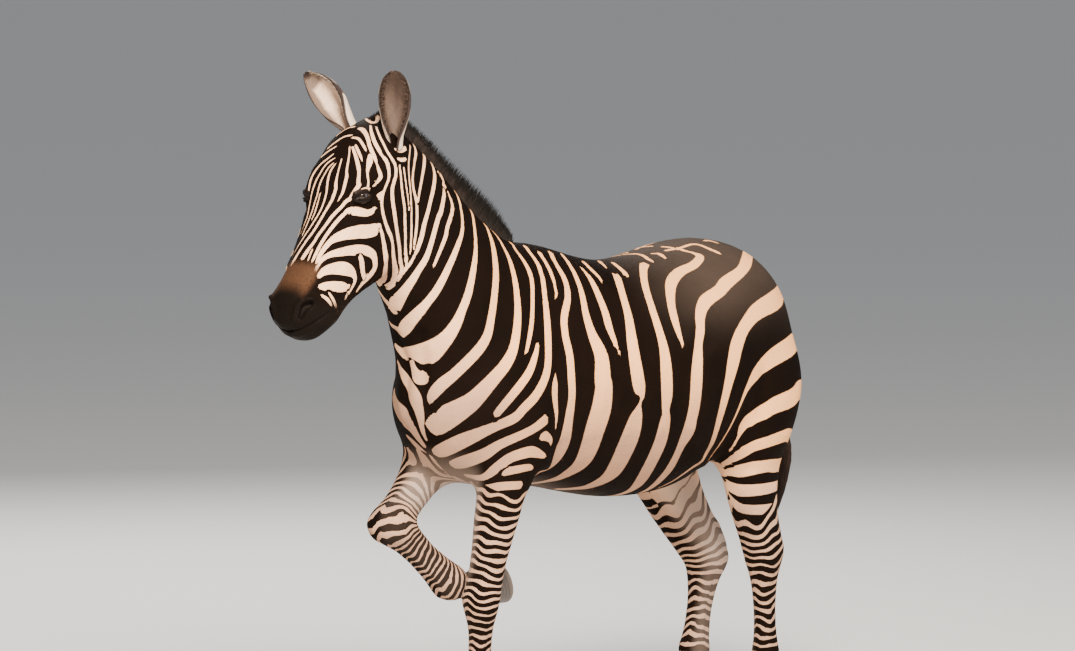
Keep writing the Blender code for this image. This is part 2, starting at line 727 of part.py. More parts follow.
# ---------------------------------------------------------------- materials
# node name start: colour, roughness
FINISH = {
    "eye": ((0.012, 0.008, 0.006), 0.12),
    "hoof": ((0.060, 0.048, 0.040), 0.45),
    "mane": ((0.060, 0.045, 0.038), 0.85),
    "tail": ((0.230, 0.190, 0.160), 0.85),
    "ear": ((0.420, 0.350, 0.300), 0.85),
    "head": ((0.260, 0.215, 0.180), 0.80),
    "neck": ((0.300, 0.245, 0.200), 0.80),
    "trunk": ((0.330, 0.270, 0.220), 0.80),
    "foreleg": ((0.310, 0.270, 0.235), 0.80),
    "hindleg": ((0.310, 0.265, 0.230), 0.80),
}


def finish(made):
    """Gives a node a material of its own."""
    start = next(key for key in FINISH if made.name.startswith(key))
    colour, roughness = FINISH[start]
    material = bpy.data.materials.new(made.name)
    material.use_nodes = True
    surface = material.node_tree.nodes["Principled BSDF"]
    surface.inputs["Base Color"].default_value = (*colour, 1.0)
    surface.inputs["Roughness"].default_value = roughness
    surface.inputs["Metallic"].default_value = 0.0
    material.diffuse_color = (*colour, 1.0)
    made.data.materials.clear()
    made.data.materials.append(material)


def settle(made):
    """Moves a node from the tables' frame to the part's, and to the wanted size."""
    shape = bmesh.new()
    shape.from_mesh(made.data)
    bmesh.ops.translate(shape, vec=Vector((-MID_LENGTH, -MID_WIDTH, 0)), verts=shape.verts)
    bmesh.ops.scale(shape, vec=Vector((SCALE, SCALE, SCALE)), verts=shape.verts)
    shape.to_mesh(made.data)
    shape.free()


def main():
    clear_scene()
    body = whole_body()
    neck_cut = (Vector(NECK_CUT[0]), Vector(NECK_CUT[1]).normalized(), 0.42)
    head_cut = (Vector(HEAD_CUT[0]), Vector(HEAD_CUT[1]).normalized(), 0.30)

    coarse = thinned(body, COARSE_TRIANGLES)
    saw(coarse, *neck_cut)
    saw(coarse, *head_cut)
    for leg in LEGS.values():
        for cut in leg_cuts(leg):
            saw(coarse, *cut)
    made = [mesh_object("trunk", piece_near(coarse, Vector((0.40, -0.27, 0.90))))]
    made.append(mesh_object("neck", piece_near(coarse, Vector((-0.25, -0.10, 1.30)))))
    for name, leg in LEGS.items():
        middle = joint(leg, "knee" if "elbow" in leg else "hock")
        low = middle.lerp(joint(leg, "fetlock"), 0.6)
        made.append(mesh_object(name + "_upper", piece_near(coarse, middle)))
        made.append(mesh_object(name + "_lower", piece_near(coarse, low)))
        made.append(hoof("hoof_" + name, leg))
    coarse.free()

    fine = thinned(body, FINE_TRIANGLES)
    saw(fine, *head_cut)
    head = mesh_object("head", piece_near(fine, face_point(0.60)))
    fine.free()
    eyes = [eye("eye_left", LEFT), eye("eye_right", RIGHT)]
    for ball_object in eyes:
        eye_socket(head, ball_object)

    fittings = [ear("ear_left", LEFT), ear("ear_right", RIGHT), mane("mane"), hanging("tail", TAIL, 10)]
    for fitting in fittings:
        for flesh in (head, made[0], made[1]):
            keep_largest(fitting, fitted(fitting, flesh))
    bpy.data.objects.remove(body)
    made += [head, *eyes, *fittings, hanging("tail_tuft", TUFT, 12)]
    for node in made:
        settle(node)
        finish(node)


main()
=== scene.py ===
"""A plains zebra in mid-stride as a still, life-size model: skin, markings, coat, mane, tail, eyes, ears and hoofs.

The animal faces -X, its left side is towards -Y and +Z is up. The tables are written with the withers
over X = 0; a piece moves to the part's frame when it is made. Flesh is a set of sections carried along
paths and fused into one skin, on which folds, lids, nostrils and tendons are drawn. The markings of the
head, neck and trunk are ribbons pressed on the skin, and those of the legs are bands that follow the bones;
the hair takes the markings of the skin at its root. Lengths are metres unless a comment says otherwise.
"""

import math

import bpy
import numpy as np
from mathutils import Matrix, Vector
from mathutils.bvhtree import BVHTree
from mathutils.kdtree import KDTree


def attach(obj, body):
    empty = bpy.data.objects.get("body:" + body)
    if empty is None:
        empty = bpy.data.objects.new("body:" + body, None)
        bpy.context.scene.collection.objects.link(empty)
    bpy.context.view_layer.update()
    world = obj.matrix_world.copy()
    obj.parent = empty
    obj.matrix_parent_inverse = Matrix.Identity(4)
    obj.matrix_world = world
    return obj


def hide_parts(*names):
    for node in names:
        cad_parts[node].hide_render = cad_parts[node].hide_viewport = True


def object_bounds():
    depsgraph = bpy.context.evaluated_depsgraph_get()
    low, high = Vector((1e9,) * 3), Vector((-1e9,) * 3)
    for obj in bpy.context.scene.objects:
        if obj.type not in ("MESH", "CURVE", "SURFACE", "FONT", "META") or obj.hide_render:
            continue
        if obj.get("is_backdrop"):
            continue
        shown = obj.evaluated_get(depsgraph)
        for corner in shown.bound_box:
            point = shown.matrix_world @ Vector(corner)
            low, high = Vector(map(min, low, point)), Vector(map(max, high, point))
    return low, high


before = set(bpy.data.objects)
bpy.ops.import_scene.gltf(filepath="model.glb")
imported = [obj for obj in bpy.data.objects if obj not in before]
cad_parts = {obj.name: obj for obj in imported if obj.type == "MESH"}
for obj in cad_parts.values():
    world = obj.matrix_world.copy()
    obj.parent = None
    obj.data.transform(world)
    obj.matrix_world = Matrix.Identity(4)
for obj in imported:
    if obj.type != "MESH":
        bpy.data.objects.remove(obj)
CAD_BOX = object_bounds()

MID_LENGTH = 0.182  # how far behind the withers the middle of the whole length lies
LEFT, RIGHT = -1, 1  # sign of Y
VOXEL = 0.0116  # grid on which the sections are fused
SOFT_ROUNDS = 98  # rounds of smoothing on the trunk and neck
FIRM_ROUNDS = 4  # and on the legs and head
COAT_DEPTH = 0.0025  # how far the skin lies below the tips of the coat

# ---------------------------------------------------------------- trunk, neck and head
# aft of the withers, height of the widest line, top, bottom, half width, squareness above and below
TRUNK = (
    (-0.304, 0.900, 0.985, 0.805, 0.085, 2.0, 2.0),
    (-0.254, 0.890, 1.060, 0.740, 0.152, 2.0, 2.0),
    (-0.170, 0.880, 1.150, 0.695, 0.187, 2.0, 2.0),
    (-0.060, 0.880, 1.245, 0.672, 0.200, 1.9, 2.0),
    (0.030, 0.880, 1.280, 0.674, 0.208, 1.8, 2.0),
    (0.130, 0.885, 1.270, 0.660, 0.222, 1.8, 2.0),
    (0.240, 0.890, 1.240, 0.640, 0.245, 1.9, 2.0),
    (0.360, 0.895, 1.221, 0.622, 0.266, 2.0, 2.0),
    (0.480, 0.900, 1.225, 0.618, 0.276, 2.1, 1.95),
    (0.600, 0.920, 1.244, 0.630, 0.270, 2.2, 1.85),
    (0.700, 0.950, 1.263, 0.668, 0.256, 2.2, 1.7),
    (0.790, 0.980, 1.262, 0.730, 0.238, 2.2, 1.7),
    (0.880, 1.000, 1.240, 0.800, 0.212, 2.1, 1.8),
    (0.960, 1.010, 1.195, 0.860, 0.165, 2.0, 2.0),
    (1.015, 1.010, 1.120, 0.910, 0.105, 2.0, 2.0),
)
# crest aft and height, throat aft and height, half width, squareness above and below
NECK = (
    (0.120, 1.240, -0.200, 0.780, 0.150, 2.0, 2.0),
    (0.020, 1.275, -0.300, 0.900, 0.150, 1.8, 2.0),
    (-0.070, 1.325, -0.340, 0.990, 0.135, 1.7, 2.1),
    (-0.150, 1.380, -0.380, 1.080, 0.115, 1.7, 2.1),
    (-0.240, 1.460, -0.425, 1.150, 0.100, 1.7, 2.1),
    (-0.330, 1.530, -0.460, 1.230, 0.088, 1.7, 2.1),
    (-0.400, 1.565, -0.500, 1.320, 0.078, 1.8, 2.1),
)
# along the face from the poll, reach to the profile, reach to the jaw, half width, squareness
POLL = (-0.463, 1.598)
FACE_PITCH = 61.0  # degrees that the face points below level
SKULL = (
    (0.020, 0.008, 0.070, 0.068, 2.2, 2.0),
    (0.050, 0.040, 0.110, 0.089, 2.3, 2.1),
    (0.090, 0.060, 0.165, 0.101, 2.4, 2.3),
    (0.140, 0.072, 0.195, 0.104, 2.5, 2.4),
    (0.200, 0.074, 0.215, 0.101, 2.5, 2.5),
    (0.260, 0.073, 0.222, 0.096, 2.4, 2.5),
    (0.320, 0.072, 0.208, 0.089, 2.3, 2.4),
    (0.380, 0.074, 0.165, 0.082, 2.2, 2.3),
    (0.440, 0.083, 0.117, 0.078, 2.2, 2.2),
    (0.500, 0.092, 0.086, 0.076, 2.2, 2.2),
    (0.545, 0.091, 0.075, 0.076, 2.2, 2.2),
    (0.578, 0.072, 0.060, 0.067, 2.2, 2.2),
)
# swellings of the head: along the face, out, above the face line; radii along, across and above
FACE_LUMPS = (
    ((0.212, 0.080, 0.042), (0.068, 0.022, 0.026)),  # the bone round the eye
    ((0.535, 0.050, 0.046), (0.042, 0.029, 0.034)),  # the nostril
)

# ---------------------------------------------------------------- legs
# share of the way along the bone, reach to the front, reach to the back, half width
SHOULDER = (
    (0.00, 0.060, 0.070, 0.040),
    (0.25, 0.110, 0.110, 0.070),
    (0.50, 0.140, 0.140, 0.086),
    (0.75, 0.125, 0.135, 0.088),
    (1.00, 0.085, 0.092, 0.070),
)
FOREARM = (
    (-0.10, 0.076, 0.082, 0.066),
    (0.00, 0.074, 0.076, 0.063),
    (0.20, 0.069, 0.063, 0.058),
    (0.45, 0.057, 0.052, 0.052),
    (0.70, 0.047, 0.045, 0.046),
    (0.88, 0.046, 0.045, 0.046),
    (1.00, 0.050, 0.048, 0.049),
    (1.06, 0.042, 0.040, 0.042),
)
FORE_CANNON = (
    (-0.10, 0.042, 0.040, 0.042),
    (0.00, 0.049, 0.050, 0.049),
    (0.14, 0.040, 0.046, 0.042),
    (0.30, 0.031, 0.041, 0.032),
    (0.55, 0.028, 0.038, 0.029),
    (0.80, 0.031, 0.042, 0.032),
    (1.00, 0.037, 0.048, 0.039),
    (1.08, 0.029, 0.036, 0.032),
)
THIGH = (
    (0.00, 0.090, 0.100, 0.040),
    (0.25, 0.145, 0.160, 0.095),
    (0.50, 0.175, 0.186, 0.122),
    (0.72, 0.155, 0.180, 0.116),
    (0.90, 0.110, 0.170, 0.098),
    (1.00, 0.084, 0.160, 0.084),
)
GASKIN = (
    (-0.12, 0.078, 0.165, 0.088),
    (0.00, 0.070, 0.165, 0.082),
    (0.25, 0.070, 0.148, 0.066),
    (0.55, 0.074, 0.090, 0.053),
    (0.80, 0.070, 0.072, 0.045),
    (1.00, 0.062, 0.064, 0.048),
    (1.06, 0.048, 0.050, 0.042),
)
HIND_CANNON = (
    (-0.08, 0.048, 0.056, 0.042),
    (0.00, 0.058, 0.070, 0.048),
    (0.12, 0.053, 0.062, 0.046),
    (0.28, 0.038, 0.046, 0.036),
    (0.55, 0.030, 0.037, 0.029),
    (0.82, 0.031, 0.039, 0.031),
    (1.00, 0.037, 0.045, 0.039),
    (1.06, 0.029, 0.034, 0.031),
)
HOCK_TENDON = (
    (0.00, 0.020, 0.016, 0.022),
    (0.50, 0.022, 0.016, 0.017),
    (0.85, 0.028, 0.020, 0.021),
    (1.00, 0.028, 0.022, 0.023),
)
PASTERN = (
    (-0.10, 0.028, 0.032, 0.030),
    (0.00, 0.036, 0.042, 0.037),
    (0.30, 0.031, 0.035, 0.033),
    (0.70, 0.034, 0.036, 0.036),
    (1.00, 0.042, 0.040, 0.041),
    (1.40, 0.046, 0.044, 0.045),
)
# aft, out from the middle, height of each joint; "build" swells the upper and the lower part to the front,
# the back and the sides; "sole" is the way the sole faces
LEGS = {
    "foreleg_left": {
        "build": ((1, 1, 1), (1, 1, 1)),
        "side": LEFT,
        "sole": (0.0, 0.0, -1.0),
        "top": (0.020, 0.095, 1.120),
        "elbow": (-0.125, 0.115, 0.720),
        "knee": (-0.165, 0.070, 0.412),
        "fetlock": (-0.163, 0.055, 0.178),
        "coronet": (-0.203, 0.053, 0.078),
    },
    "foreleg_right": {
        "build": ((1.20, 1.04, 1.06), (1.04, 1.38, 1.14)),
        "side": RIGHT,
        "sole": (0.93, 0.0, 0.37),
        "top": (-0.010, 0.095, 1.120),
        "elbow": (-0.085, 0.130, 0.765),
        "knee": (-0.312, 0.098, 0.592),
        "fetlock": (-0.140, 0.055, 0.432),
        "coronet": (-0.040, 0.052, 0.425),
    },
    "hindleg_left": {
        "build": ((1, 1, 1), (1, 1, 1)),
        "side": LEFT,
        "sole": (0.0, 0.0, -1.0),
        "top": (0.860, 0.110, 1.110),
        "stifle": (0.775, 0.140, 0.740),
        "hock": (0.925, 0.098, 0.462),
        "fetlock": (0.945, 0.090, 0.182),
        "coronet": (0.903, 0.090, 0.080),
    },
    "hindleg_right": {
        "build": ((1.14, 1.10, 1.10), (1.14, 1.12, 1.12)),
        "side": RIGHT,
        "sole": (0.0, 0.0, -1.0),
        "top": (0.840, 0.110, 1.110),
        "stifle": (0.715, 0.145, 0.740),
        "hock": (0.955, 0.110, 0.438),
        "fetlock": (0.890, 0.100, 0.185),
        "coronet": (0.842, 0.100, 0.082),
    },
}
# the tendon's ridge behind the gaskin: where it leaves the bone, how far behind, and its end at the hock
RIDGE_START, RIDGE_BACK = 0.40, 0.045
RIDGE_END_BACK, RIDGE_END = 0.030, (0.012, 0, 0.040)
CORONET_TILT = 14.0  # degrees that the top of a hoof falls towards the heel
RAISED_HOOF = 0.078  # height of the hoof that is off the ground
# height from the sole as a share, shift to the front, reach to the front, reach to the back, half width
HOOF = (
    (0.00, 0.018, 0.062, 0.056, 0.052),
    (0.12, 0.016, 0.061, 0.056, 0.052),
    (0.55, 0.008, 0.053, 0.051, 0.047),
    (1.00, 0.000, 0.044, 0.042, 0.042),
)

# ---------------------------------------------------------------- ears, eyes, mane and tail
EAR_LENGTH = 0.187
EAR_WALL = 0.0045
# share of the length, radius of the cup, half the angle that it wraps, bow backwards
EAR = (
    (-0.10, 0.020, 165.0, -0.004),
    (0.05, 0.022, 150.0, 0.000),
    (0.22, 0.030, 125.0, 0.004),
    (0.42, 0.039, 98.0, 0.006),
    (0.62, 0.041, 84.0, 0.004),
    (0.80, 0.035, 74.0, 0.000),
    (0.92, 0.024, 68.0, -0.004),
    (0.98, 0.013, 64.0, -0.006),
    (1.00, 0.006, 62.0, -0.007),
)
# along the face from the poll, out, above the face line; the way the ear points; the way its cup faces
EAR_PLACE = {LEFT: (0.075, -0.086, 0.004), RIGHT: (0.050, 0.058, 0.014)}
EAR_AXIS = {LEFT: (-0.36, -0.31, 0.90), RIGHT: (-0.02, 0.75, 0.70)}
EAR_OPENING = {LEFT: (-0.77, -0.62, 0.10), RIGHT: (-0.92, -0.05, 0.20)}
EYE_RADIUS = 0.0205
EYE_PLACE = (0.246, 0.0870, 0.043)  # along the face, out, above the face line
EYE_SET_IN = {LEFT: 0.0065, RIGHT: 0.0135}  # how far the ball's middle lies behind that place
EYE_SLIT = (-0.95, 0.0, -0.20)  # from the back corner of the eye to the front one
SLIT_HALF = (0.0198, 0.0188)  # the opening's half length to the front and to the back
UPPER_ARCH, LOWER_ARCH = 0.0092, 0.0058  # how far the lids' edges stand above and below the slit
BROW = {LEFT: 0.0045, RIGHT: 0.0085}  # how far the brow stands out
# crest aft and height, way the hair stands (aft, up), length of hair, half width
MANE = (
    (-0.490, 1.572, -0.20, 0.98, 0.012, 0.010),
    (-0.450, 1.582, 0.00, 1.00, 0.018, 0.014),
    (-0.400, 1.568, 0.35, 0.94, 0.021, 0.016),
    (-0.330, 1.530, 0.55, 0.84, 0.023, 0.017),
    (-0.240, 1.460, 0.62, 0.79, 0.030, 0.018),
    (-0.150, 1.380, 0.62, 0.79, 0.044, 0.018),
    (-0.070, 1.325, 0.50, 0.87, 0.044, 0.017),
    (-0.010, 1.290, 0.40, 0.92, 0.028, 0.014),
    (0.030, 1.275, 0.30, 0.95, 0.010, 0.010),
)
# aft, out, height, radius
TAIL = (
    (0.985, 0.000, 1.150, 0.034),
    (1.045, 0.000, 1.125, 0.031),
    (1.092, 0.000, 1.060, 0.026),
    (1.115, 0.000, 0.960, 0.021),
    (1.122, 0.002, 0.860, 0.017),
    (1.124, 0.004, 0.775, 0.015),
)
TUFT = (
    (1.1242, 0.004, 0.7745, 0.016),
    (1.130, 0.008, 0.735, 0.028),
    (1.133, 0.015, 0.680, 0.038),
    (1.118, 0.025, 0.600, 0.040),
    (1.095, 0.034, 0.520, 0.034),
    (1.075, 0.040, 0.450, 0.020),
    (1.066, 0.040, 0.425, 0.008),
)

# ---------------------------------------------------------------- markings
# The three-quarter view: its turn from the side, its rise, its distance, and the place that it looks at.
VIEW_TURN, VIEW_RISE, VIEW_STAND = math.radians(-50.6), math.radians(3.3), 14.93
VIEW_MIDDLE = (0.136, 0.0, 1.062)
VIEW_LENS = 202.94  # mm, on a sensor 36 mm wide
# Level lines to the right of that view and away from it, and how far along the first the middle lies.
LEVEL_RIGHT, LEVEL_AHEAD = (0.643, -0.766, 0.0), (0.766, 0.643, 0.0)
MIDDLE_ALONG = 0.08745
LOOK_START = 3.0  # how far before the animal a level look starts
# Pale ribbons on the dark ground. A ribbon is a list of stations (along, height, width) in centimetres,
# "along" on the level line to the right, each pressed on the skin by a level look ahead. "rear" ribbons are
# carried on over the rump to the tail, "belly" ribbons under the belly. "view" ribbons are set out on an
# upright sheet through the animal's middle instead, and pressed on along the view's own lines of sight.
RIBBONS = {
    "neck_1": ("", ((-21.6, 153.6, 0.6), (-20.6, 151.8, 0.8), (-21.5, 143.8, 0.8), (-20.5, 137.8, 0.7),
        (-20.6, 132.4, 0.6), (-21.3, 127.1, 0.4))),
    "neck_2": ("", ((-19.8, 151.3, 0.6), (-18.9, 149.6, 0.8), (-18.8, 147.2, 0.9), (-19.8, 141.3, 0.7),
        (-20.3, 138.4, 0.6))),
    "neck_3": ("", ((-18.6, 150.5, 0.5), (-16.3, 144.7, 1), (-17.5, 137.6, 0.9), (-18.7, 133.2, 1),
        (-19.7, 129.1, 1), (-21.9, 123.9, 0.6), (-26.7, 118.8, 1), (-28, 118.1, 0.8))),
    "neck_4": ("", ((-14.9, 145.5, 0.7), (-14, 141, 0.9), (-14.7, 136.2, 1.1), (-15.5, 134.2, 1.1),
        (-17.4, 127.5, 1.1), (-19.1, 123.5, 1.3), (-23.3, 117.3, 1.9), (-26, 113.3, 3), (-26.2, 111.6, 1.6))),
    "breast_a": ("", ((-26.2, 112.5, 2), (-28.3, 114.6, 1.3), (-30, 117.2, 0.8))),
    "neck_5": ("", ((-13.4, 141, 0.3), (-12, 136.7, 0.9), (-13.3, 132, 0.9), (-13.8, 129.6, 0.9),
        (-16.5, 123, 0.5))),
    "neck_6": ("", ((-11.4, 141.7, 1.1), (-9.9, 135.6, 0.8), (-9.7, 131.1, 0.9), (-10.8, 127.6, 1.2),
        (-12.4, 123.8, 1.4), (-14.7, 119.1, 1.6), (-17.3, 115, 1.7), (-21.5, 110.4, 2.4), (-23.4, 108, 2.7),
        (-24.6, 106.2, 1.8))),
    "breast_b": ("", ((-24.8, 106.8, 2), (-27, 108.3, 1.2), (-29.2, 111.3, 0.7), (-30.2, 113.5, 0.5))),
    "neck_7": ("", ((-7.7, 137.9, 1.3), (-7.8, 136.1, 1), (-7.1, 133.9, 0.9), (-6.5, 128.5, 0.9),
        (-6.7, 123.8, 1.3), (-8.1, 116.7, 1.7), (-9.7, 112.3, 1.8), (-11.5, 108.4, 2.4), (-14.2, 104.8, 3.2),
        (-18.4, 101.6, 4.6), (-23.2, 101.1, 3.4), (-25.3, 102.3, 1.5), (-28.5, 107, 0.5))),
    "breast_c": ("", ((-22.2, 99.6, 1.6), (-21.6, 97.8, 1.7), (-20.6, 96, 2.6), (-19.2, 95.8, 2.9),
        (-18.3, 96, 1.8))),
    "breast_d": ("", ((-25.4, 99.6, 0.75), (-24.7, 97.3, 1.5), (-23.6, 95, 2.25), (-22.3, 92.8, 2.85),
        (-21.2, 90.6, 3), (-20.5, 88.6, 2.25), (-20, 86.7, 1.8), (-19.6, 84.6, 1.35), (-19.2, 82.5, 0.9),
        (-18.4, 80.5, 0.45))),
    "breast_e": ("", ((-26.6, 97, 0.6), (-26.9, 95, 1.8), (-26.9, 92.5, 2.4), (-26.5, 90.2, 3),
        (-25.6, 88, 4.05), (-24.2, 85.9, 4.5), (-22.7, 84.2, 3.75), (-21.4, 82.5, 2.7), (-20.3, 80.7, 1.8),
        (-18.8, 78.7, 0.9))),
    "breast_f": ("", ((-23.2, 81.2, 0.75), (-21.6, 79.6, 1.65), (-19.9, 77.9, 1.65), (-18.1, 76.3, 1.2),
        (-16.2, 75.2, 0.6))),
    "neck_8": ("", ((-4.6, 134.4, 1), (-4.1, 132.2, 0.9), (-2.5, 127.9, 1.4), (-1.7, 122.8, 1.7),
        (-1.6, 118, 1.9), (-2.5, 110.3, 2), (-4.4, 104.2, 2.2), (-10.9, 97.4, 2.1), (-14.5, 94.4, 2.4),
        (-17.2, 91.5, 2.2), (-17.8, 89.8, 1.2))),
    "neck_9": ("", ((-2, 131.4, 0.7), (-1.3, 129.4, 0.8), (1.8, 123.5, 1.2), (3.1, 119, 1.4),
        (3.6, 110.7, 1.7), (2.7, 103.2, 1.9), (0.8, 99, 2.3), (-2.2, 95.5, 2.6), (-6.5, 91, 3.4),
        (-9.2, 88.9, 4), (-15.5, 85.2, 5.4), (-18, 84.2, 5))),
    "shoulder_1": ("", ((0.5, 129, 0.5), (5.4, 122.6, 1.1), (6.9, 118.5, 1.2), (7.1, 111, 1.1),
        (6.7, 106.5, 1.1), (5.8, 102.2, 0.8), (5.4, 101.2, 0.4))),
    "shoulder_fork": ("", ((8.5, 103.3, 0.7), (7.8, 100.2, 1.3), (5.7, 95.6, 1.8), (-0.7, 88, 1.6),
        (-1.7, 86.6, 1))),
    "shoulder_2": ("", ((3.2, 128.1, 1), (4.7, 127.1, 0.9), (8, 123.1, 0.9), (9.6, 119.5, 1.1),
        (10.3, 114.5, 1.2), (11, 106.4, 1.7), (10.9, 97.2, 1.8), (8.4, 91.5, 2), (5.1, 88.1, 2),
        (2.8, 85.9, 2), (-2.5, 83.7, 2), (-9.7, 80.5, 3.2), (-14.6, 77.9, 3.2), (-16.4, 77.1, 2))),
    "withers_1": ("", ((6.8, 128.2, 1.3), (10.8, 121.9, 0.9), (11.9, 119.8, 0.9), (13.1, 115.6, 0.6),
        (13, 113.8, 0.4))),
    "elbow_sliver": ("", ((13.1, 95.8, 0.5), (13, 93.6, 1.6), (12.9, 91, 1.8), (13.3, 86.2, 1),
        (13, 82.6, 0.3))),
    "girth_1": ("", ((9.6, 127.7, 1.5), (10.8, 126.5, 1.2), (12.9, 122.3, 1.1), (15.3, 118.1, 1.3),
        (16, 114, 1.5), (15.2, 109.8, 1.7), (15.4, 105.3, 1.7), (16.4, 100.2, 1.8), (16.8, 94.6, 1.9),
        (16.9, 89.9, 1.9), (15.9, 83.1, 2.6), (15, 78.9, 3.4), (13.5, 75.2, 3.2), (11.3, 72.6, 2.8),
        (8.5, 71.3, 1.6))),
    "rib_2": ("belly", ((12.4, 126.1, 0.5), (16.4, 121.7, 1), (19.1, 116, 1.3), (20.6, 109, 1.8),
        (22.2, 104.2, 2.5), (24.2, 99.3, 3.5), (24.5, 93.9, 4.2), (24.8, 92.1, 4.4), (24.3, 87.3, 5),
        (22.9, 82.4, 5.2), (19.9, 73.6, 4.2), (14.9, 69.6, 2.6), (10.7, 68.4, 1.6))),
    "back_1": ("", ((14.9, 124.8, 0.6), (16.2, 123.8, 0.7), (17.3, 123, 0.2))),
    "back_2": ("", ((17.8, 123.9, 0.6), (20.6, 121.3, 1.1), (23.4, 118.6, 1), (24.6, 117, 0.4))),
    "back_3": ("", ((22.4, 122.7, 0.7), (23.8, 121.8, 0.9), (25.2, 120.7, 0.8), (25.8, 120.1, 0.3))),
    "back_4": ("", ((24.6, 122.3, 0.6), (26.7, 121.6, 0.8), (30, 119.2, 1.3), (30.8, 118, 1.2))),
    "rib_1": ("", ((19.3, 120.8, 0.5), (22.1, 117.2, 1.4), (25, 110.5, 1.8), (26.4, 105.7, 1.7),
        (28.8, 99.7, 0.3))),
    "barrel_1": ("belly", ((28.3, 118.5, 1.9), (30, 112.7, 1.8), (31.2, 107.9, 2.1), (32.1, 100.8, 2.7),
        (33.6, 91.8, 3.1), (34.3, 89.1, 1.3), (33.8, 87.6, 0.6), (32.8, 83.9, 3.4), (31.1, 78.3, 4.8),
        (27.9, 71, 4.4), (25.4, 68.2, 3.8), (21.3, 66.2, 2.8), (18.5, 65.8, 2))),
    "barrel_2": ("belly", ((35.7, 120.6, 2), (35.2, 118.9, 1.6), (35.7, 114.6, 1.7), (38.7, 105, 2),
        (39.9, 100.3, 2.4), (40.4, 95.5, 3), (40.6, 89.2, 2.9), (40.3, 85.9, 2), (40.4, 84.2, 2),
        (40.2, 82.5, 2.9), (38.9, 76.8, 3.5), (35.4, 68.9, 3.3), (33.7, 65.9, 2.8), (32.4, 64.6, 2.2))),
    "loin_1": ("", ((33.3, 122.6, 0.5), (35.3, 122.3, 0.8), (36.8, 121.4, 0.9), (37.9, 120.8, 0.4))),
    "spine_1": ("", ((20.7, 122.6, 0.5), (28.2, 123.4, 0.7), (32.6, 124.6, 0.8), (38, 125.6, 0.8),
        (45, 126.3, 0.6))),
    "spine_2": ("", ((51.2, 125.2, 0.6), (52.8, 125.2, 1.1), (54.9, 124.6, 0.8))),
    "croup_1": ("", ((40.9, 123.2, 0.7), (45, 123.8, 0.8), (49, 124.6, 0.8), (54, 122.8, 1),
        (55.2, 122.2, 0.4))),
    "croup_2": ("", ((37.6, 122.6, 0.4), (39.3, 122.6, 1), (40.4, 122.1, 0.9), (41.1, 121.5, 0.3))),
    "flank_1": ("rear", ((44.7, 100.8, 0.5), (42.9, 106.7, 1.9), (41.9, 111.4, 2), (42.1, 115.8, 2.4),
        (44.4, 118.4, 2.3), (48.1, 119.9, 2), (50, 121.8, 1.6), (48.3, 122.6, 0.8))),
    "haunch_1": ("rear", ((37.4, 64.8, 2), (39, 66.4, 2.5), (42.2, 70.7, 2.9), (45.6, 77.5, 3.1),
        (47.6, 85.1, 3.1), (48.4, 93.5, 3.2), (49.3, 103.3, 2.6), (49.3, 108.1, 2.7), (50.8, 111.3, 3),
        (54.4, 113.5, 2.8), (56.3, 115.4, 3), (60.3, 117.9, 2.4), (61.8, 119.7, 2.8), (62.6, 121.4, 2.6))),
    "haunch_2": ("rear", ((43.5, 66.4, 1), (49, 70.6, 1.8), (51.6, 74.3, 2.1), (54.2, 82, 2.7),
        (56.3, 90, 3.1), (57.7, 95.8, 4.2), (58.8, 100.2, 4.2), (60.8, 104.4, 3.3), (64, 107.8, 3.7),
        (68.6, 109.9, 4.3), (70.8, 111.3, 3.8), (71.5, 113.5, 1.5))),
    "haunch_3": ("rear", ((52.5, 71.7, 0.3), (55.7, 76.5, 0.8), (58.4, 81.7, 1), (60, 85.5, 1.2),
        (61.6, 89.1, 1.9), (64.1, 92.7, 3.5), (68, 95.9, 4), (72.7, 98.1, 4.3), (75, 99.5, 4))),
    "haunch_4": ("rear", ((59.6, 76.3, 0.6), (61, 79.5, 2.9), (62.6, 80.7, 3.5), (66.7, 82.7, 3.7),
        (69, 84, 3.9), (73.6, 85.4, 4.3), (75.4, 86.9, 4.6))),
    "thigh_1": ("rear", ((57.9, 70.1, 1.5), (59.7, 71.4, 2.5), (62, 72.8, 2.9), (66.7, 74.5, 2.8),
        (73.8, 76.3, 3.3))),
    "thigh_2": ("rear", ((57.7, 66.8, 1.8), (59.6, 67.1, 3), (62.2, 67.6, 3.4), (67.4, 68.3, 3),
        (70.1, 68, 3.2), (72.6, 68.5, 2.9))),
    "thigh_3": ("rear", ((58.2, 62.8, 2.8), (60.5, 62.1, 3.1), (68.5, 62.3, 2.5), (70.9, 62.6, 2.2))),
    "thigh_4": ("rear", ((59.3, 58.4, 2.2), (61.3, 57.2, 2.4), (68.2, 56.8, 2.3), (70.4, 57.7, 1.5))),
    "arm_1": ("", ((10.8, 85.2, 2.2), (6.9, 82.7, 1.7), (-0.4, 79.7, 1.9), (-4.6, 77.1, 2.6), (-9.7, 75, 3.2),
        (-12.2, 74.1, 2.4))),
    "arm_2": ("", ((9.2, 80.7, 1.2), (10.5, 81, 1.9), (11.6, 80, 1.3), (11.7, 78.8, 0.6))),
    "arm_3": ("", ((10, 76.1, 1), (8.1, 77.1, 2), (6.1, 77.4, 2.2), (1.8, 76.2, 2), (-1.6, 73.7, 1.9),
        (-4.9, 71.3, 1.2), (-9, 71.5, 1))),
    "arm_4": ("", ((0.1, 72.2, 0.8), (1.8, 73, 1.5), (6, 73.6, 1.4), (7.2, 73.3, 0.8))),
    "arm_5": ("", ((-8, 68.8, 1.2), (-4.3, 68.5, 1.6), (-0.4, 69.3, 1.6), (4.5, 69.4, 1.6))),
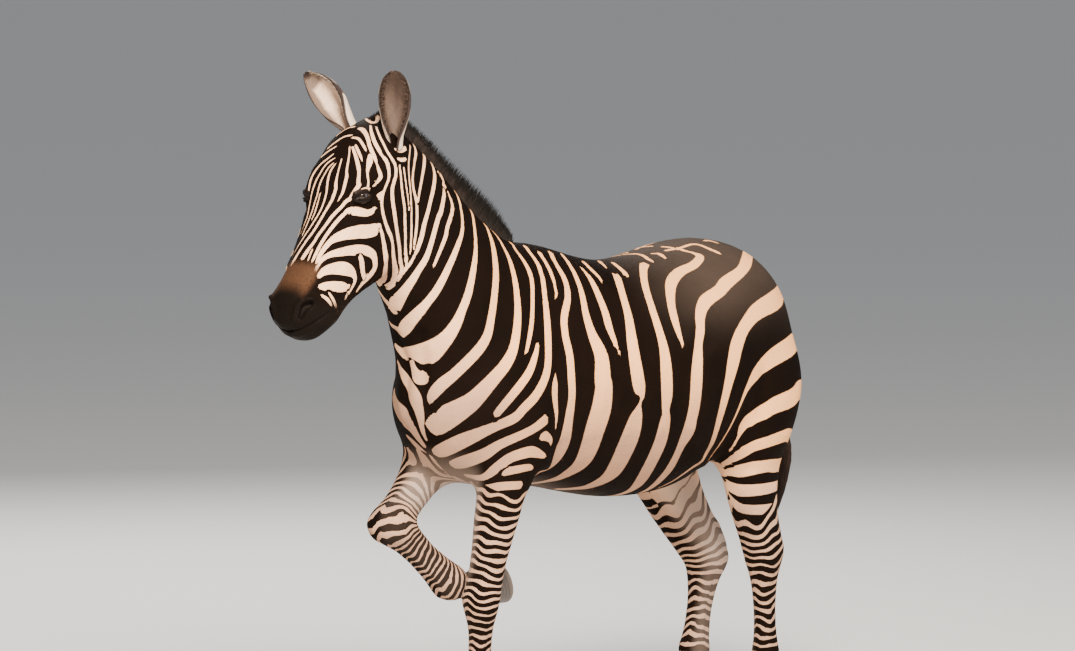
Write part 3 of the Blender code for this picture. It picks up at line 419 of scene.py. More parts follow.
    "brow_1": ("view", ((-40.9, 150.3, 0.35), (-43, 149, 0.45), (-45.1, 147.2, 0.5), (-46.9, 145.2, 0.5),
        (-48, 143.6, 0.5), (-48.4, 142, 0.45), (-48.5, 140, 0.4), (-48.6, 138, 0.35), (-48.7, 135, 0.35),
        (-48.8, 132.5, 0.3))),
    "brow_2": ("view", ((-41.6, 148.4, 0.3), (-43, 147.3, 0.4), (-44.6, 146, 0.45), (-46, 144.3, 0.5),
        (-46.9, 142.7, 0.5), (-47.4, 141, 0.5), (-47.6, 139.5, 0.4), (-47.8, 138, 0.3))),
    "nose_1": ("view", ((-41.3, 147.4, 0.25), (-42.8, 146.4, 0.4), (-43.9, 145.2, 0.45), (-44.8, 143.7, 0.45),
        (-45.7, 142.1, 0.45), (-46.3, 140.6, 0.45), (-46.8, 139, 0.4), (-47.2, 137, 0.4), (-47.6, 135, 0.4),
        (-48, 133, 0.35), (-48.8, 131, 0.35), (-49.8, 129, 0.35), (-50.8, 127, 0.35), (-51.7, 125, 0.3))),
    "nose_2": ("view", ((-41.6, 146.2, 0.25), (-42.8, 145, 0.35), (-43.8, 143.3, 0.4), (-44.5, 142, 0.45),
        (-45.1, 140.3, 0.45), (-45.5, 138.5, 0.4), (-46.2, 136.3, 0.4), (-47, 133.8, 0.35), (-48.1, 131, 0.35),
        (-49.2, 128.4, 0.25))),
    "nose_3": ("", ((-43.2, 140.9, 0.2), (-44, 138, 0.4), (-44.55, 136.2, 0.35), (-45.2, 134.8, 0.2))),
    "nose_4": ("view", ((-41.1, 146, 0.3), (-42, 144.7, 0.45), (-42.6, 143.3, 0.5), (-42.9, 142, 0.55),
        (-43.1, 140.5, 0.5), (-43.25, 139, 0.45), (-43.9, 136.6, 0.4), (-44.8, 134.4, 0.4),
        (-46.1, 132.2, 0.4), (-47.5, 130, 0.35), (-48.9, 127.9, 0.35), (-50.3, 125.7, 0.3), (-51.3, 124, 0.25),
        (-52, 122.6, 0.2))),
    "nose_5": ("", ((-38.2, 148.9, 0.3), (-39.1, 145.5, 0.4), (-39.5, 143.2, 0.75), (-39.5, 142.1, 0.75),
        (-40.05, 140.3, 0.8), (-40.5, 139.2, 0.7), (-41.8, 137, 0.6), (-43.2, 134.6, 0.6),
        (-44.75, 132.1, 0.65), (-46.6, 129.6, 0.65), (-48.3, 127, 0.7), (-49.2, 125.5, 0.8),
        (-50, 124.1, 0.3))),
    "nose_6": ("", ((-36.3, 151.8, 0.3), (-36.4, 149.9, 0.35), (-36.6, 148.5, 0.45), (-36.95, 146.2, 0.5),
        (-36.9, 145.1, 0.75), (-37.15, 143.9, 0.75), (-37.7, 141.7, 0.65), (-38.1, 140.7, 0.5),
        (-38.9, 139.3, 0.2))),
    "nose_7": ("", ((-35.65, 151.8, 0.5), (-34.7, 149.3, 0.75), (-34.1, 147, 0.85), (-34, 145.8, 0.8),
        (-34.15, 143.7, 0.9), (-34.1, 142.9, 1.1), (-35.2, 141.4, 0.8), (-36.1, 139.8, 0.9), (-37, 139.2, 0.8),
        (-38.1, 137.9, 0.7), (-40.1, 135.9, 0.8), (-41.9, 133.5, 0.7), (-43.7, 131.1, 0.7),
        (-44.4, 129.9, 0.7), (-46.3, 127.3, 1), (-47.3, 125.8, 1))),
    "nose_8": ("", ((-44.9, 128, 0.3), (-45.4, 126.8, 0.35), (-45.85, 125.5, 0.2))),
    "nose_9": ("view", ((-38.1, 134.4, 0.7), (-39.5, 133.1, 0.8), (-41, 131.5, 0.8), (-42.4, 129.7, 0.75),
        (-43.6, 128, 0.7), (-44.8, 126, 0.7), (-45.6, 124.4, 0.65), (-46.3, 123, 0.6), (-46.8, 121.9, 0.3))),
    "eye_low": ("view", ((-38.6, 134.3, 0.6), (-37.5, 134.5, 1.2), (-36, 134.4, 1.6), (-34.5, 134.1, 1.5),
        (-33.3, 133.9, 1.3), (-32, 134.3, 1.1), (-31.1, 135.2, 0.8), (-30.6, 136.2, 0.3))),
    "cheek_1": ("view", ((-30.1, 131, 1.22), (-30.8, 130, 2.32), (-33, 129.4, 2.56), (-35, 129.3, 2.56),
        (-37, 129, 2.32), (-39, 128.5, 1.95), (-41, 127.8, 1.59), (-42.3, 126.9, 1.1), (-43.5, 125.6, 0.92),
        (-44.5, 124.2, 0.79), (-45.3, 122.7, 0.61), (-45.8, 121.5, 0.3))),
    "cheek_2": ("view", ((-46, 119.6, 0.49), (-45.2, 121.3, 0.67), (-44.3, 122.5, 0.85), (-43, 123.4, 1.04),
        (-41, 124, 1.34), (-39, 124.4, 1.59), (-37, 124.7, 1.83), (-35, 124.8, 1.95), (-33.3, 124.6, 1.83),
        (-31.8, 123.7, 1.59), (-31.3, 122.2, 1.34), (-31.3, 120.5, 1.34), (-32.2, 118.9, 1.46),
        (-33.5, 117.5, 1.34), (-34.8, 116, 0.98), (-35.8, 114.6, 0.61))),
    "cheek_3": ("view", ((-35, 123.4, 0.9), (-34.6, 122, 1.2), (-34.4, 120.5, 1.2), (-34.2, 119, 1.05),
        (-33.8, 117.8, 0.9))),
    "cheek_4": ("view", ((-45.2, 118.2, 0.73), (-44.2, 119.3, 1.34), (-42.5, 120, 1.83), (-40.5, 120.3, 2.32),
        (-38.8, 120.2, 2.56), (-37.3, 119.6, 2.07), (-36.4, 118.5, 1.22), (-36.2, 117.2, 0.85),
        (-36.9, 115.6, 0.61), (-37.8, 114, 0.49))),
    "cheek_5": ("view", ((-45, 115.7, 0.85), (-43.5, 115.8, 1.59), (-41.5, 115.8, 1.95), (-39.5, 115.7, 1.95),
        (-38.3, 115.6, 1.34), (-37.6, 116, 0.61))),
    "cheek_6": ("", ((-36.5, 118, 0.4), (-37.2, 116.3, 0.4))),
    "chin_1": ("view", ((-42.6, 114.2, 0.35), (-41.5, 112.4, 0.6), (-40.7, 110.2, 0.55), (-40.3, 109, 0.3))),
    "chin_2": ("view", ((-44.4, 113.6, 0.45), (-43, 112.6, 0.7), (-42, 111.2, 0.45))),
    "temple_1": ("view", ((-35.3, 154.8, 0.6), (-34.4, 154.5, 0.9), (-33.5, 153.3, 0.75), (-33, 152, 0.65),
        (-32.6, 150.5, 0.65), (-32, 149, 0.7), (-31.3, 147.5, 0.7), (-30.6, 146, 0.65), (-30.2, 144.3, 0.75),
        (-29.9, 143, 0.9), (-30.4, 142, 0.7), (-31.4, 141.4, 0.45))),
    "temple_0": ("view", ((-36.3, 155.2, 0.6), (-37.5, 155, 0.55), (-38.8, 154.4, 0.5), (-40.1, 153.5, 0.4),
        (-40.8, 152.9, 0.3))),
    "temple_2": ("view", ((-36.9, 152.5, 0.4), (-35.5, 152.3, 0.5), (-34.6, 151.3, 0.45), (-33.9, 150.1, 0.45),
        (-33.5, 149.3, 0.2))),
    "temple_3": ("", ((-34.9, 152.2, 0.4), (-34.2, 150.8, 0.5), (-33.6, 149.5, 0.4), (-33.3, 148.7, 0.2))),
    "eye_top": ("view", ((-34.6, 139.6, 0.45), (-33.3, 139.8, 0.7), (-32, 139.7, 0.7), (-30.9, 139.3, 0.6),
        (-30.2, 138.7, 0.35))),
    "temple_4": ("view", ((-32.4, 155.5, 0.3), (-32.2, 154, 0.5), (-31.6, 152, 0.65), (-30.8, 150.3, 0.7),
        (-29.7, 148.6, 0.7), (-28.6, 147, 0.75), (-28, 145.3, 0.8), (-27.8, 143.5, 0.7), (-28, 142, 0.6),
        (-28.7, 140.3, 0.5), (-29.3, 138.4, 0.5), (-29.6, 136, 0.6), (-29.3, 133.8, 0.7), (-28.7, 131.5, 0.7),
        (-28, 129.5, 0.75), (-27.4, 128, 0.8), (-27, 126, 0.85), (-26.8, 124, 0.95), (-26.6, 122, 1.05),
        (-26.3, 120, 1.2), (-26.3, 118, 1.3), (-27.2, 116.3, 1.2), (-28.3, 115.3, 0.8))),
    "temple_5": ("view", ((-31, 155.2, 0.3), (-30.2, 153, 0.35), (-29.2, 151, 0.4), (-28.3, 149.2, 0.45),
        (-27.2, 147.4, 0.55), (-26.4, 146, 0.65), (-26.1, 144.5, 0.75), (-26.2, 143, 0.8),
        (-26.6, 141.5, 0.85), (-27, 140, 0.9), (-27, 138, 0.95), (-26.8, 136, 0.95), (-26.5, 134, 0.95),
        (-26.2, 132, 1), (-25.9, 130, 1), (-25.6, 128, 1), (-25.3, 126, 0.95), (-25.1, 124, 0.95),
        (-24.9, 122, 0.9), (-24.6, 120.5, 0.8), (-24.9, 118.8, 0.75), (-25.8, 117.2, 0.6))),
    "temple_6": ("view", ((-25.2, 145.5, 0.5), (-24.9, 143, 0.5), (-24.7, 140.5, 0.6), (-24.4, 138, 0.7),
        (-24.1, 136, 0.7), (-23.9, 134, 0.7), (-23.8, 132, 0.7), (-23.7, 130, 0.7), (-23.6, 128, 0.7),
        (-23.6, 126, 0.7), (-23.6, 124, 0.75), (-23.5, 122, 0.75), (-23.6, 120.5, 0.6), (-24.4, 118.9, 0.4))),
    "temple_7": ("view", ((-26.3, 149.6, 0.4), (-25, 149.3, 0.8), (-23.7, 149.9, 0.9))),
    "temple_8": ("view", ((-25.7, 147.3, 0.3), (-24.7, 147, 0.65), (-23.6, 147.2, 0.6))),
    "temple_9": ("view", ((-24.2, 145, 0.45), (-23.9, 143, 0.4), (-23.5, 140, 0.4), (-23.2, 138, 0.35),
        (-23, 136, 0.25), (-22.9, 134.8, 0.2))),
    "poll_1": ("view", ((-33.8, 157.3, 0.3), (-33, 156.7, 0.5), (-32, 156.2, 0.6), (-31, 156.4, 0.7),
        (-30.6, 157.3, 0.7), (-31, 158, 0.6), (-31.9, 158.3, 0.35))),
    "arm_6": ("", ((-2.3, 66, 0.6), (0, 66, 1.3), (2.5, 66.3, 0.6))),
    "cheek_7": ("view", ((-30.1, 130.6, 0.5), (-29.6, 129, 0.7), (-29.2, 127, 0.9), (-28.9, 125, 1.1),
        (-28.7, 123, 1.2), (-28.7, 121, 1.3), (-28.9, 119, 1.4), (-29.6, 117.3, 1.4), (-31, 116.2, 1.1),
        (-32.2, 115.5, 0.7))),
    "temple_10": ("view", ((-36.2, 156.4, 0.3), (-37.6, 156.1, 0.35), (-38.7, 155.5, 0.3),
        (-39.5, 154.9, 0.25))),
    "temple_12": ("view", ((-34.4, 157.4, 0.3), (-36, 157.4, 0.3), (-37.4, 157, 0.25))),
    "temple_13": ("view", ((-37, 153.1, 0.3), (-38.3, 152.9, 0.4), (-39.5, 152.4, 0.4), (-41, 151.4, 0.4),
        (-42.3, 150.4, 0.35), (-43, 149.8, 0.25))),
    "temple_14": ("view", ((-32.5, 148.3, 0.6), (-32.5, 147.2, 1.1), (-32.7, 146.1, 1), (-33.1, 144.5, 0.5),
        (-33, 143, 0.45), (-32.8, 141.5, 0.45), (-32.9, 140.4, 0.6))),
    "temple_11": ("view", ((-22.6, 150.5, 0.45), (-22.8, 148, 0.5), (-23, 146, 0.5), (-22.9, 143, 0.45),
        (-22.6, 140, 0.4), (-22.4, 137, 0.4), (-22.3, 134, 0.4), (-22.3, 131, 0.4), (-22.3, 128, 0.4),
        (-22.4, 125.5, 0.3), (-22.6, 123.8, 0.2))),
}

# ---------------------------------------------------------------- sections carried along paths
ACROSS = np.array((0.0, 1.0, 0.0))
PITCH = math.radians(FACE_PITCH)
FACE_DOWN = np.array((-math.cos(PITCH), 0.0, -math.sin(PITCH)))
FACE_UP = np.array((-math.sin(PITCH), 0.0, math.cos(PITCH)))
DOME = np.radians((28.0, 54.0, 78.0))  # the sections that round off the end of a tube


def unit(v):
    """Vectors scaled to length one."""
    v = np.asarray(v, float)
    return v / np.maximum(np.linalg.norm(v, axis=-1, keepdims=True), 1e-12)


def square_to(ways, normals):
    """Ways with what lies along the normals taken out, scaled to length one."""
    return unit(ways - normals * (ways * normals).sum(-1, keepdims=True))


def signed_power(value, power):
    """A power of a value's size with the value's sign, as in a superellipse."""
    return np.sign(value) * np.abs(value) ** power


def circle(around):
    """Cosines and sines of that many equal steps of a turn."""
    angle = 2 * math.pi * np.arange(around) / around
    return np.cos(angle), np.sin(angle)


def in_middle(aft, height):
    """Points, or ways, in the animal's middle plane."""
    return np.stack((aft, 0 * aft, height), 1)


def ramp(value, low, high):
    """0 below low, 1 above high, and 3t^2 - 2t^3 between."""
    t = np.clip((np.asarray(value, float) - low) / (high - low), 0.0, 1.0)
    return t * t * (3 - 2 * t)


def bump(distance, width):
    """exp(-(distance / width)^2): a soft bell."""
    return np.exp(-((distance / width) ** 2))


def smooth_rows(rows, per_span):
    """Catmull-Rom curve through the rows of a table, with per_span steps from each row to the next."""
    table = np.array(rows, float)
    p = np.vstack([2 * table[0] - table[1], table, 2 * table[-1] - table[-2]])
    a, b, c, d = (p[k : len(p) - 3 + k, None] for k in range(4))
    t = (np.arange(per_span) / per_span)[None, :, None]
    cubic = 2 * b + (c - a) * t + (2 * a - 5 * b + 4 * c - d) * t**2 + (3 * b - a - 3 * c + d) * t**3
    return np.vstack([(cubic / 2).reshape(-1, table.shape[1]), table[-1:]])


def face_point(along, out=0.0, above=0.0):
    """A point of the head: along the face from the poll, out to the right, above the face line."""
    return np.array((POLL[0], out, POLL[1])) + FACE_DOWN * along + FACE_UP * above


def face_place(points):
    """How far points lie along the face from the poll, and above the face line."""
    d = points - face_point(0)
    return d @ FACE_DOWN, d @ FACE_UP


def spread(values, count):
    """A number or a column as an array of that many rows."""
    return np.broadcast_to(np.asarray(values, float), (count,)).astype(float)


def tube(centre, up, above, below, width, powers=(2.0, 2.0), around=24, dome=(0.5, 0.5)):
    """Closed surface through superelliptic sections.

    A section's points are centre + up * sgn(c)|c|^(2/p) * reach + side * sgn(s)|s|^(2/p) * width for
    c, s the cosine and sine round it. Each end is closed by sections shrinking with the cosine."""
    centre = np.asarray(centre, float)
    n = len(centre)
    up = unit(np.broadcast_to(np.asarray(up, float), (n, 3)))
    side = square_to(ACROSS, up)
    ahead = square_to(np.gradient(centre, axis=0), up)
    above, below, width = (spread(v, n) for v in (above, below, width))
    first, second = (spread(v, n) for v in powers)
    order = np.arange(n)
    shrink, shift = np.ones(n), np.zeros(n)
    for end, share, sign in ((0, dome and dome[0], -1.0), (n - 1, dome and dome[1], 1.0)):
        if not share:
            continue
        c, s = np.cos(DOME), np.sin(DOME) * share * sign
        if sign < 0:
            order, shrink, shift = np.r_[[end] * 3, order], np.r_[c[::-1], shrink], np.r_[s[::-1], shift]
        else:
            order, shrink, shift = np.r_[order, [end] * 3], np.r_[shrink, c], np.r_[shift, s]
    c, s = (row[None] for row in circle(around))
    power = 2.0 / np.where(c >= 0, first[order][:, None], second[order][:, None])
    reach = np.where(c >= 0, above[order][:, None], below[order][:, None]) * shrink[:, None]
    rise = signed_power(c, power) * reach
    out = signed_power(s, power) * (width[order] * shrink)[:, None]
    middle = centre[order] + ahead[order] * (shift * width[order])[:, None]
    ring = middle[:, None] + up[order][:, None] * rise[..., None] + side[order][:, None] * out[..., None]
    return ring, grid_faces(len(order), around)


def grid_faces(rows, around, caps=True):
    """Quads between closed rows of points; caps close the first and last row."""
    i, k = np.meshgrid(np.arange(rows - 1), np.arange(around), indexing="ij")
    n = (k + 1) % around
    quads = np.stack((i * around + k, i * around + n, (i + 1) * around + n, (i + 1) * around + k), -1)
    faces = quads.reshape(-1, 4).tolist()
    if caps:
        faces += [list(range(around))[::-1], list(range((rows - 1) * around, rows * around))]
    return faces


def linked(name, data):
    """A new object in the scene, with its data."""
    made = bpy.data.objects.new(name, data)
    bpy.context.scene.collection.objects.link(made)
    return made


def make_mesh(name, points, faces, settle=True):
    """A new object from points and faces; settle moves it from the tables' frame to the part's."""
    points = np.asarray(points, float).reshape(-1, 3)
    if settle:
        points = points - (MID_LENGTH, 0.0, 0.0)
    mesh = bpy.data.meshes.new(name)
    mesh.from_pydata(points.tolist(), [], faces if isinstance(faces, list) else faces.tolist())
    mesh.update()
    return linked(name, mesh)


def joined(parts):
    """Points and faces of several surfaces as one list, each turned so that it encloses volume."""
    points, faces, start = [], [], 0
    for ring, some in parts:
        flat = np.asarray(ring, float).reshape(-1, 3)
        corner = np.array([f[:3] for f in some if len(f) == 4])
        a, b, c = (flat[corner[:, k]] - flat.mean(0) for k in range(3))
        outward = (np.cross(b - a, c - a) * a).sum() > 0
        faces += [[i + start for i in (f if outward else f[::-1])] for f in some]
        points.append(flat)
        start += len(flat)
    return np.vstack(points), faces


def closed_piece(name, *surfaces):
    """A new object from closed surfaces, with its faces outwards."""
    return make_mesh(name, *joined(surfaces))


# ---------------------------------------------------------------- the forms of the flesh
def trunk_forms():
    """The barrel, from the breast to the buttocks."""
    t = smooth_rows(TRUNK, 3)
    centre = in_middle(t[:, 0], t[:, 1])
    above, below = t[:, 2] - t[:, 1], t[:, 1] - t[:, 3]
    return [tube(centre, (0, 0, 1), above, below, t[:, 4], (t[:, 5], t[:, 6]), 40, (0.5, 0.45))]


def neck_forms():
    """The neck, between its crest and its throat line."""
    t = smooth_rows(NECK, 3)
    crest, throat = in_middle(t[:, 0], t[:, 1]), in_middle(t[:, 2], t[:, 3])
    centre = crest * 0.45 + throat * 0.55
    reach = np.linalg.norm(crest - centre, axis=1), np.linalg.norm(throat - centre, axis=1)
    return [tube(centre, crest - throat, *reach, t[:, 4], (t[:, 5], t[:, 6]), 32)]


def ball(centre, radii):
    """An ellipsoid lying along the face: radii along it, across and above."""
    t = np.radians(np.linspace(-85, 85, 15))
    centre = np.asarray(centre) + FACE_DOWN * (np.sin(t) * radii[0])[:, None]
    wide, high = radii[1] * np.cos(t), radii[2] * np.cos(t)
    return tube(centre, FACE_UP, high, high, wide, around=20, dome=None)


def head_forms():
    """The skull, with the swellings round the eyes and the nostrils."""
    t = smooth_rows(SKULL, 3)
    centre = face_point(0) + FACE_DOWN * t[:, :1]
    shapes = [tube(centre, FACE_UP, t[:, 1], t[:, 2], t[:, 3], (t[:, 4], t[:, 5]), 40, (0.6, 0.6))]
    for side in (LEFT, RIGHT):
        shapes += [ball(face_point(along, side * out, above), radii) for (along, out, above), radii in FACE_LUMPS]
    return shapes


def forward_of(start, end):
    """The front of a segment, square to it in its own upright plane."""
    return np.cross(ACROSS, unit(end - start))


def bone(start, end, table, around=20, build=(1, 1, 1)):
    """A leg segment: the table's reaches set off to front and back of the line from joint to joint."""
    start, end = np.asarray(start), np.asarray(end)
    t = smooth_rows(table, 3)
    centre = start + (end - start) * t[:, :1]
    front, back, width = (t[:, 1:] * build).T
    return tube(centre, forward_of(start, end), front, back, width, (2.2, 2.2), around)


def joint(leg, name):
    """A joint's place in the tables' frame, with its side's sign on Y."""
    aft, out, height = leg[name]
    return np.array((aft, leg["side"] * out, height))


def leg_forms(leg):
    """A leg from shoulder or hip to the coronet, with the hock's tendon behind."""
    top, fetlock, coronet = joint(leg, "top"), joint(leg, "fetlock"), joint(leg, "coronet")
    if "elbow" in leg:
        elbow, knee = joint(leg, "elbow"), joint(leg, "knee")
        shapes = [bone(top, elbow, SHOULDER, 24), bone(elbow, knee, FOREARM, build=leg["build"][0]),
                  bone(knee, fetlock, FORE_CANNON, build=leg["build"][1])]
    else:
        stifle, hock = joint(leg, "stifle"), joint(leg, "hock")
        shapes = [bone(top, stifle, THIGH, 28), bone(stifle, hock, GASKIN, build=leg["build"][0]),
                  bone(hock, fetlock, HIND_CANNON, build=leg["build"][1])]
        back = -forward_of(stifle, hock)
        start = stifle + (hock - stifle) * RIDGE_START + back * RIDGE_BACK
        shapes.append(bone(start, hock + back * RIDGE_END_BACK + RIDGE_END, HOCK_TENDON))
    return shapes + [bone(fetlock, coronet, PASTERN)]


def tail_dock():
    """The tail's fleshy part."""
    t = smooth_rows(TAIL, 4)
    return tube(t[:, :3], (-1, 0, 0), t[:, 3] - COAT_DEPTH, t[:, 3], t[:, 3], around=20, dome=(0.5, 0.8))


# ---------------------------------------------------------------- one skin
def edges_of(faces):
    """The edges of quads and of longer outlines, each once."""
    quads, rest = faces
    pairs = [np.stack((quads, np.roll(quads, -1, 1)), 2).reshape(-1, 2)]
    pairs += [np.stack((f, np.roll(f, -1)), 1) for f in map(np.array, rest)]
    return np.unique(np.sort(np.vstack(pairs), 1), axis=0)


def eased(co, edges, weight, rounds):
    """Each round moves a point towards the mean of its neighbours by its weight."""
    n = len(co)
    a, b = edges[:, 0], edges[:, 1]
    count = np.maximum(np.bincount(a, minlength=n) + np.bincount(b, minlength=n), 1)
    step = (np.broadcast_to(weight, (n,)) / count)[:, None]
    co = co.copy()
    for _ in range(rounds):
        total = np.empty_like(co)
        for k in range(co.shape[1]):
            total[:, k] = np.bincount(a, co[b, k], n) + np.bincount(b, co[a, k], n)
        co += step * total - co * (step * count[:, None])
    return co


def normals_of(co, quads):
    """Normals of points: the mean of the cross products of the diagonals of their quads."""
    cross = np.cross(co[quads[:, 2]] - co[quads[:, 0]], co[quads[:, 3]] - co[quads[:, 1]])
    out = np.empty_like(co)
    for k in range(3):
        out[:, k] = sum(np.bincount(quads[:, j], cross[:, k], len(co)) for j in range(4))
    return unit(out)


def split_faces(co, faces, chosen):
    """Splits the chosen quads in four; each neighbour only takes the new points into its outline."""
    quads, rest = faces
    corner = quads[chosen]
    n = len(co)
    pairs = np.sort(np.stack((corner, np.roll(corner, -1, 1)), 2).reshape(-1, 2), 1)
    unique, back = np.unique(pairs[:, 0] * n + pairs[:, 1], return_inverse=True)
    middle = (co[unique // n] + co[unique % n]) / 2
    mid = n + back.reshape(-1, 4)
    hub = n + len(unique) + np.arange(len(corner))
    parts = [np.stack((corner[:, k], mid[:, k], hub, mid[:, k - 1]), 1) for k in range(4)]
    left = quads[~chosen]
    near = np.sort(np.stack((left, np.roll(left, -1, 1)), 2).reshape(-1, 2), 1)
    key = near[:, 0] * n + near[:, 1]
    place = np.minimum(np.searchsorted(unique, key), len(unique) - 1)
    hit = (unique[place] == key).reshape(-1, 4)
    touched = hit.any(1)
    at = dict(zip(unique.tolist(), range(n, n + len(unique))))

    def outline(row):
        """A face's corners with the new points that lie on its edges."""
        both = [(a, at.get(min(a, b) * n + max(a, b))) for a, b in zip(row, row[1:] + row[:1])]
        return [k for pair in both for k in pair if k is not None]

    rest = [outline(row) for row in rest + left[touched].tolist()]
    co = np.vstack([co, middle, co[corner].mean(1)])
    return co, (np.vstack([left[~touched], *parts]), rest)


def softness(co):
    """How far the flesh is softened: fully on the trunk, hardly on the legs, the head and the tail."""
    above_legs = ramp(co[:, 2], 0.60, 0.74) * (1 - 0.9 * ramp(co[:, 0], 1.00, 1.06))
    behind_head = 1 - ramp((co - face_point(0.10)) @ FACE_DOWN, -0.10, 0.05)
    behind_jaw = np.where(co[:, 2] > 1.1, ramp(co[:, 0], -0.52, -0.40), 1.0)
    return above_legs * np.maximum(np.maximum(behind_head, behind_jaw), 0.10)


def fused_flesh():
    """Every form fused on a grid, and softened where muscles run together."""
    shapes = trunk_forms() + neck_forms() + head_forms() + [tail_dock()]
    for leg in LEGS.values():
        shapes += leg_forms(leg)
    made = make_mesh("fused", *joined(shapes), settle=False)
    fuse = made.modifiers.new("fuse", "REMESH")
    fuse.mode = "VOXEL"
    fuse.voxel_size = VOXEL
    bpy.context.view_layer.update()
    mesh = made.evaluated_get(bpy.context.evaluated_depsgraph_get()).to_mesh()
    co = np.empty(len(mesh.vertices) * 3, np.float32)
    mesh.vertices.foreach_get("co", co)
    co = co.reshape(-1, 3).astype(float)
    quads = np.empty(len(mesh.loops), np.int32)
    mesh.loops.foreach_get("vertex_index", quads)
    quads = quads.reshape(-1, 4).astype(np.int64)
    bpy.data.objects.remove(made)
    edges = edges_of((quads, []))
    soft = softness(co)
    co = eased(co, edges, 0.25 * soft, SOFT_ROUNDS)
    co = eased(co, edges, 0.25 * (1 - soft), FIRM_ROUNDS)
    return co, quads


# ---------------------------------------------------------------- eyes in their lids
EYE_GAZE = {side: unit(ACROSS * side * 0.93 + FACE_UP * 0.32 + FACE_DOWN * 0.06) for side in (LEFT, RIGHT)}
LID_REACH = 0.060  # how far from the ball's middle the skin is drawn


def eye_axes(side):
    """Centre of the ball, and the directions along the slit to its front corner, up and outwards."""
    along, out, above = EYE_PLACE
    gaze = EYE_GAZE[side]
    slit = np.array(EYE_SLIT)
    slit = unit(slit - gaze * (slit @ gaze))
    up = np.cross(gaze, slit) * -side
    return face_point(along, side * out, above) - gaze * EYE_SET_IN[side], slit, up, gaze


def lidded(co, side):
    """Draws the skin round the ball: behind it in an almond opening, over it as lids, with a fold above.

    A point keeps its direction from the middle of the ball, and its distance follows how far it lies
    inside or outside of the almond. Gives also how far each point is bare black skin: the lids' rim and
    the tear duct before the front corner."""
    centre, slit, up, gaze = eye_axes(side)
    d = co - centre
    r = np.linalg.norm(d, axis=1)
    near = (r < LID_REACH) & (d @ gaze > -0.004)
    q = d[near] / r[near][:, None]
    x, y = q @ slit * EYE_RADIUS, q @ up * EYE_RADIUS
    half = np.where(x > 0, *SLIT_HALF)
    arch = np.clip(1 - (x / half) ** 2, 0, None)
    inside = np.minimum(UPPER_ARCH * arch**0.62 - y, y + LOWER_ARCH * arch**0.8)
    inside = np.where(np.abs(x) > half, -(np.abs(x) - half) - np.abs(y) * 0.6, inside)
    base = r[near]
    lid = EYE_RADIUS + 0.0030 - 0.0012 * ramp(inside, -0.0022, 0.0)
    sunk = EYE_RADIUS - 0.0040
    away = ramp(-inside, 0.0025, 0.0150)
    shape = lid * (1 - away) + base * away
    fold = np.where(y > 0, 0.0022, 0.0014) * bump(inside + np.where(y > 0, 0.0068, 0.0062), 0.0016)
    roll = 0.0016 * bump(inside + 0.0036, 0.0026)
    brow = BROW[side] * bump(inside + 0.0185, 0.0085) * ramp(y, 0.0, 0.014)
    shape = shape - fold + roll + brow
    shape = shape + (sunk - shape) * ramp(inside, 0.0, 0.0016)
    co = co.copy()
    co[near] = centre + q * shape[:, None]
    rim = np.zeros(len(co))
    along, rise = d[near] @ slit, d[near] @ up
    patch = 1 - np.hypot((along - 0.002) / 0.037, (rise + 0.002) / (0.0165 + 0.10 * (along < 0) * rise))
    off_duct = rise + 0.0035 + 0.30 * (along - 0.018)
    duct = ramp(along, 0.014, 0.020) * ramp(-along, -0.050, -0.040) * bump(off_duct, 0.0040)
    rim[near] = ramp(patch, 0.0, 0.14) + duct
    return co, np.clip(rim, 0, 1)


# ---------------------------------------------------------------- drawing on the skin
WIDEN, WIDEN_BY = 1.22, 0.0008  # a ribbon's hairy edges take as much from its width as this gives
LONGEST_STEP = 0.05  # a path with a longer step has jumped to a form behind
# how a ribbon is carried on: length of a step, number of steps, fall at each step, narrowing
CARRY_ON = {
    "rear": (0.014, 22, (0.10, 0.15, -0.22), 0.985),
    "belly": (0.014, 14, (-0.10, 0.30, 0.0), 0.96),
    "crest": (0.010, 5, (0, 0, 0), 0.95),
    "stifle": (0.010, 5, (0, 0, 0), 0.97),
}
FACE_NARROW, THIGH_NARROW = 0.84, 0.93  # how far ribbons of the nose and brow, and of the thigh, are narrowed
SIDES_DIFFER = 0.006  # how far a mirrored ribbon sways up and down


def view_axes():
    """Right, up and back of the three-quarter view."""
    level = math.cos(VIEW_RISE)
    back = np.array((math.sin(VIEW_TURN) * level, -math.cos(VIEW_TURN) * level, math.sin(VIEW_RISE)))
    right = unit(np.cross((0.0, 0.0, 1.0), back))
    return right, np.cross(back, right), back


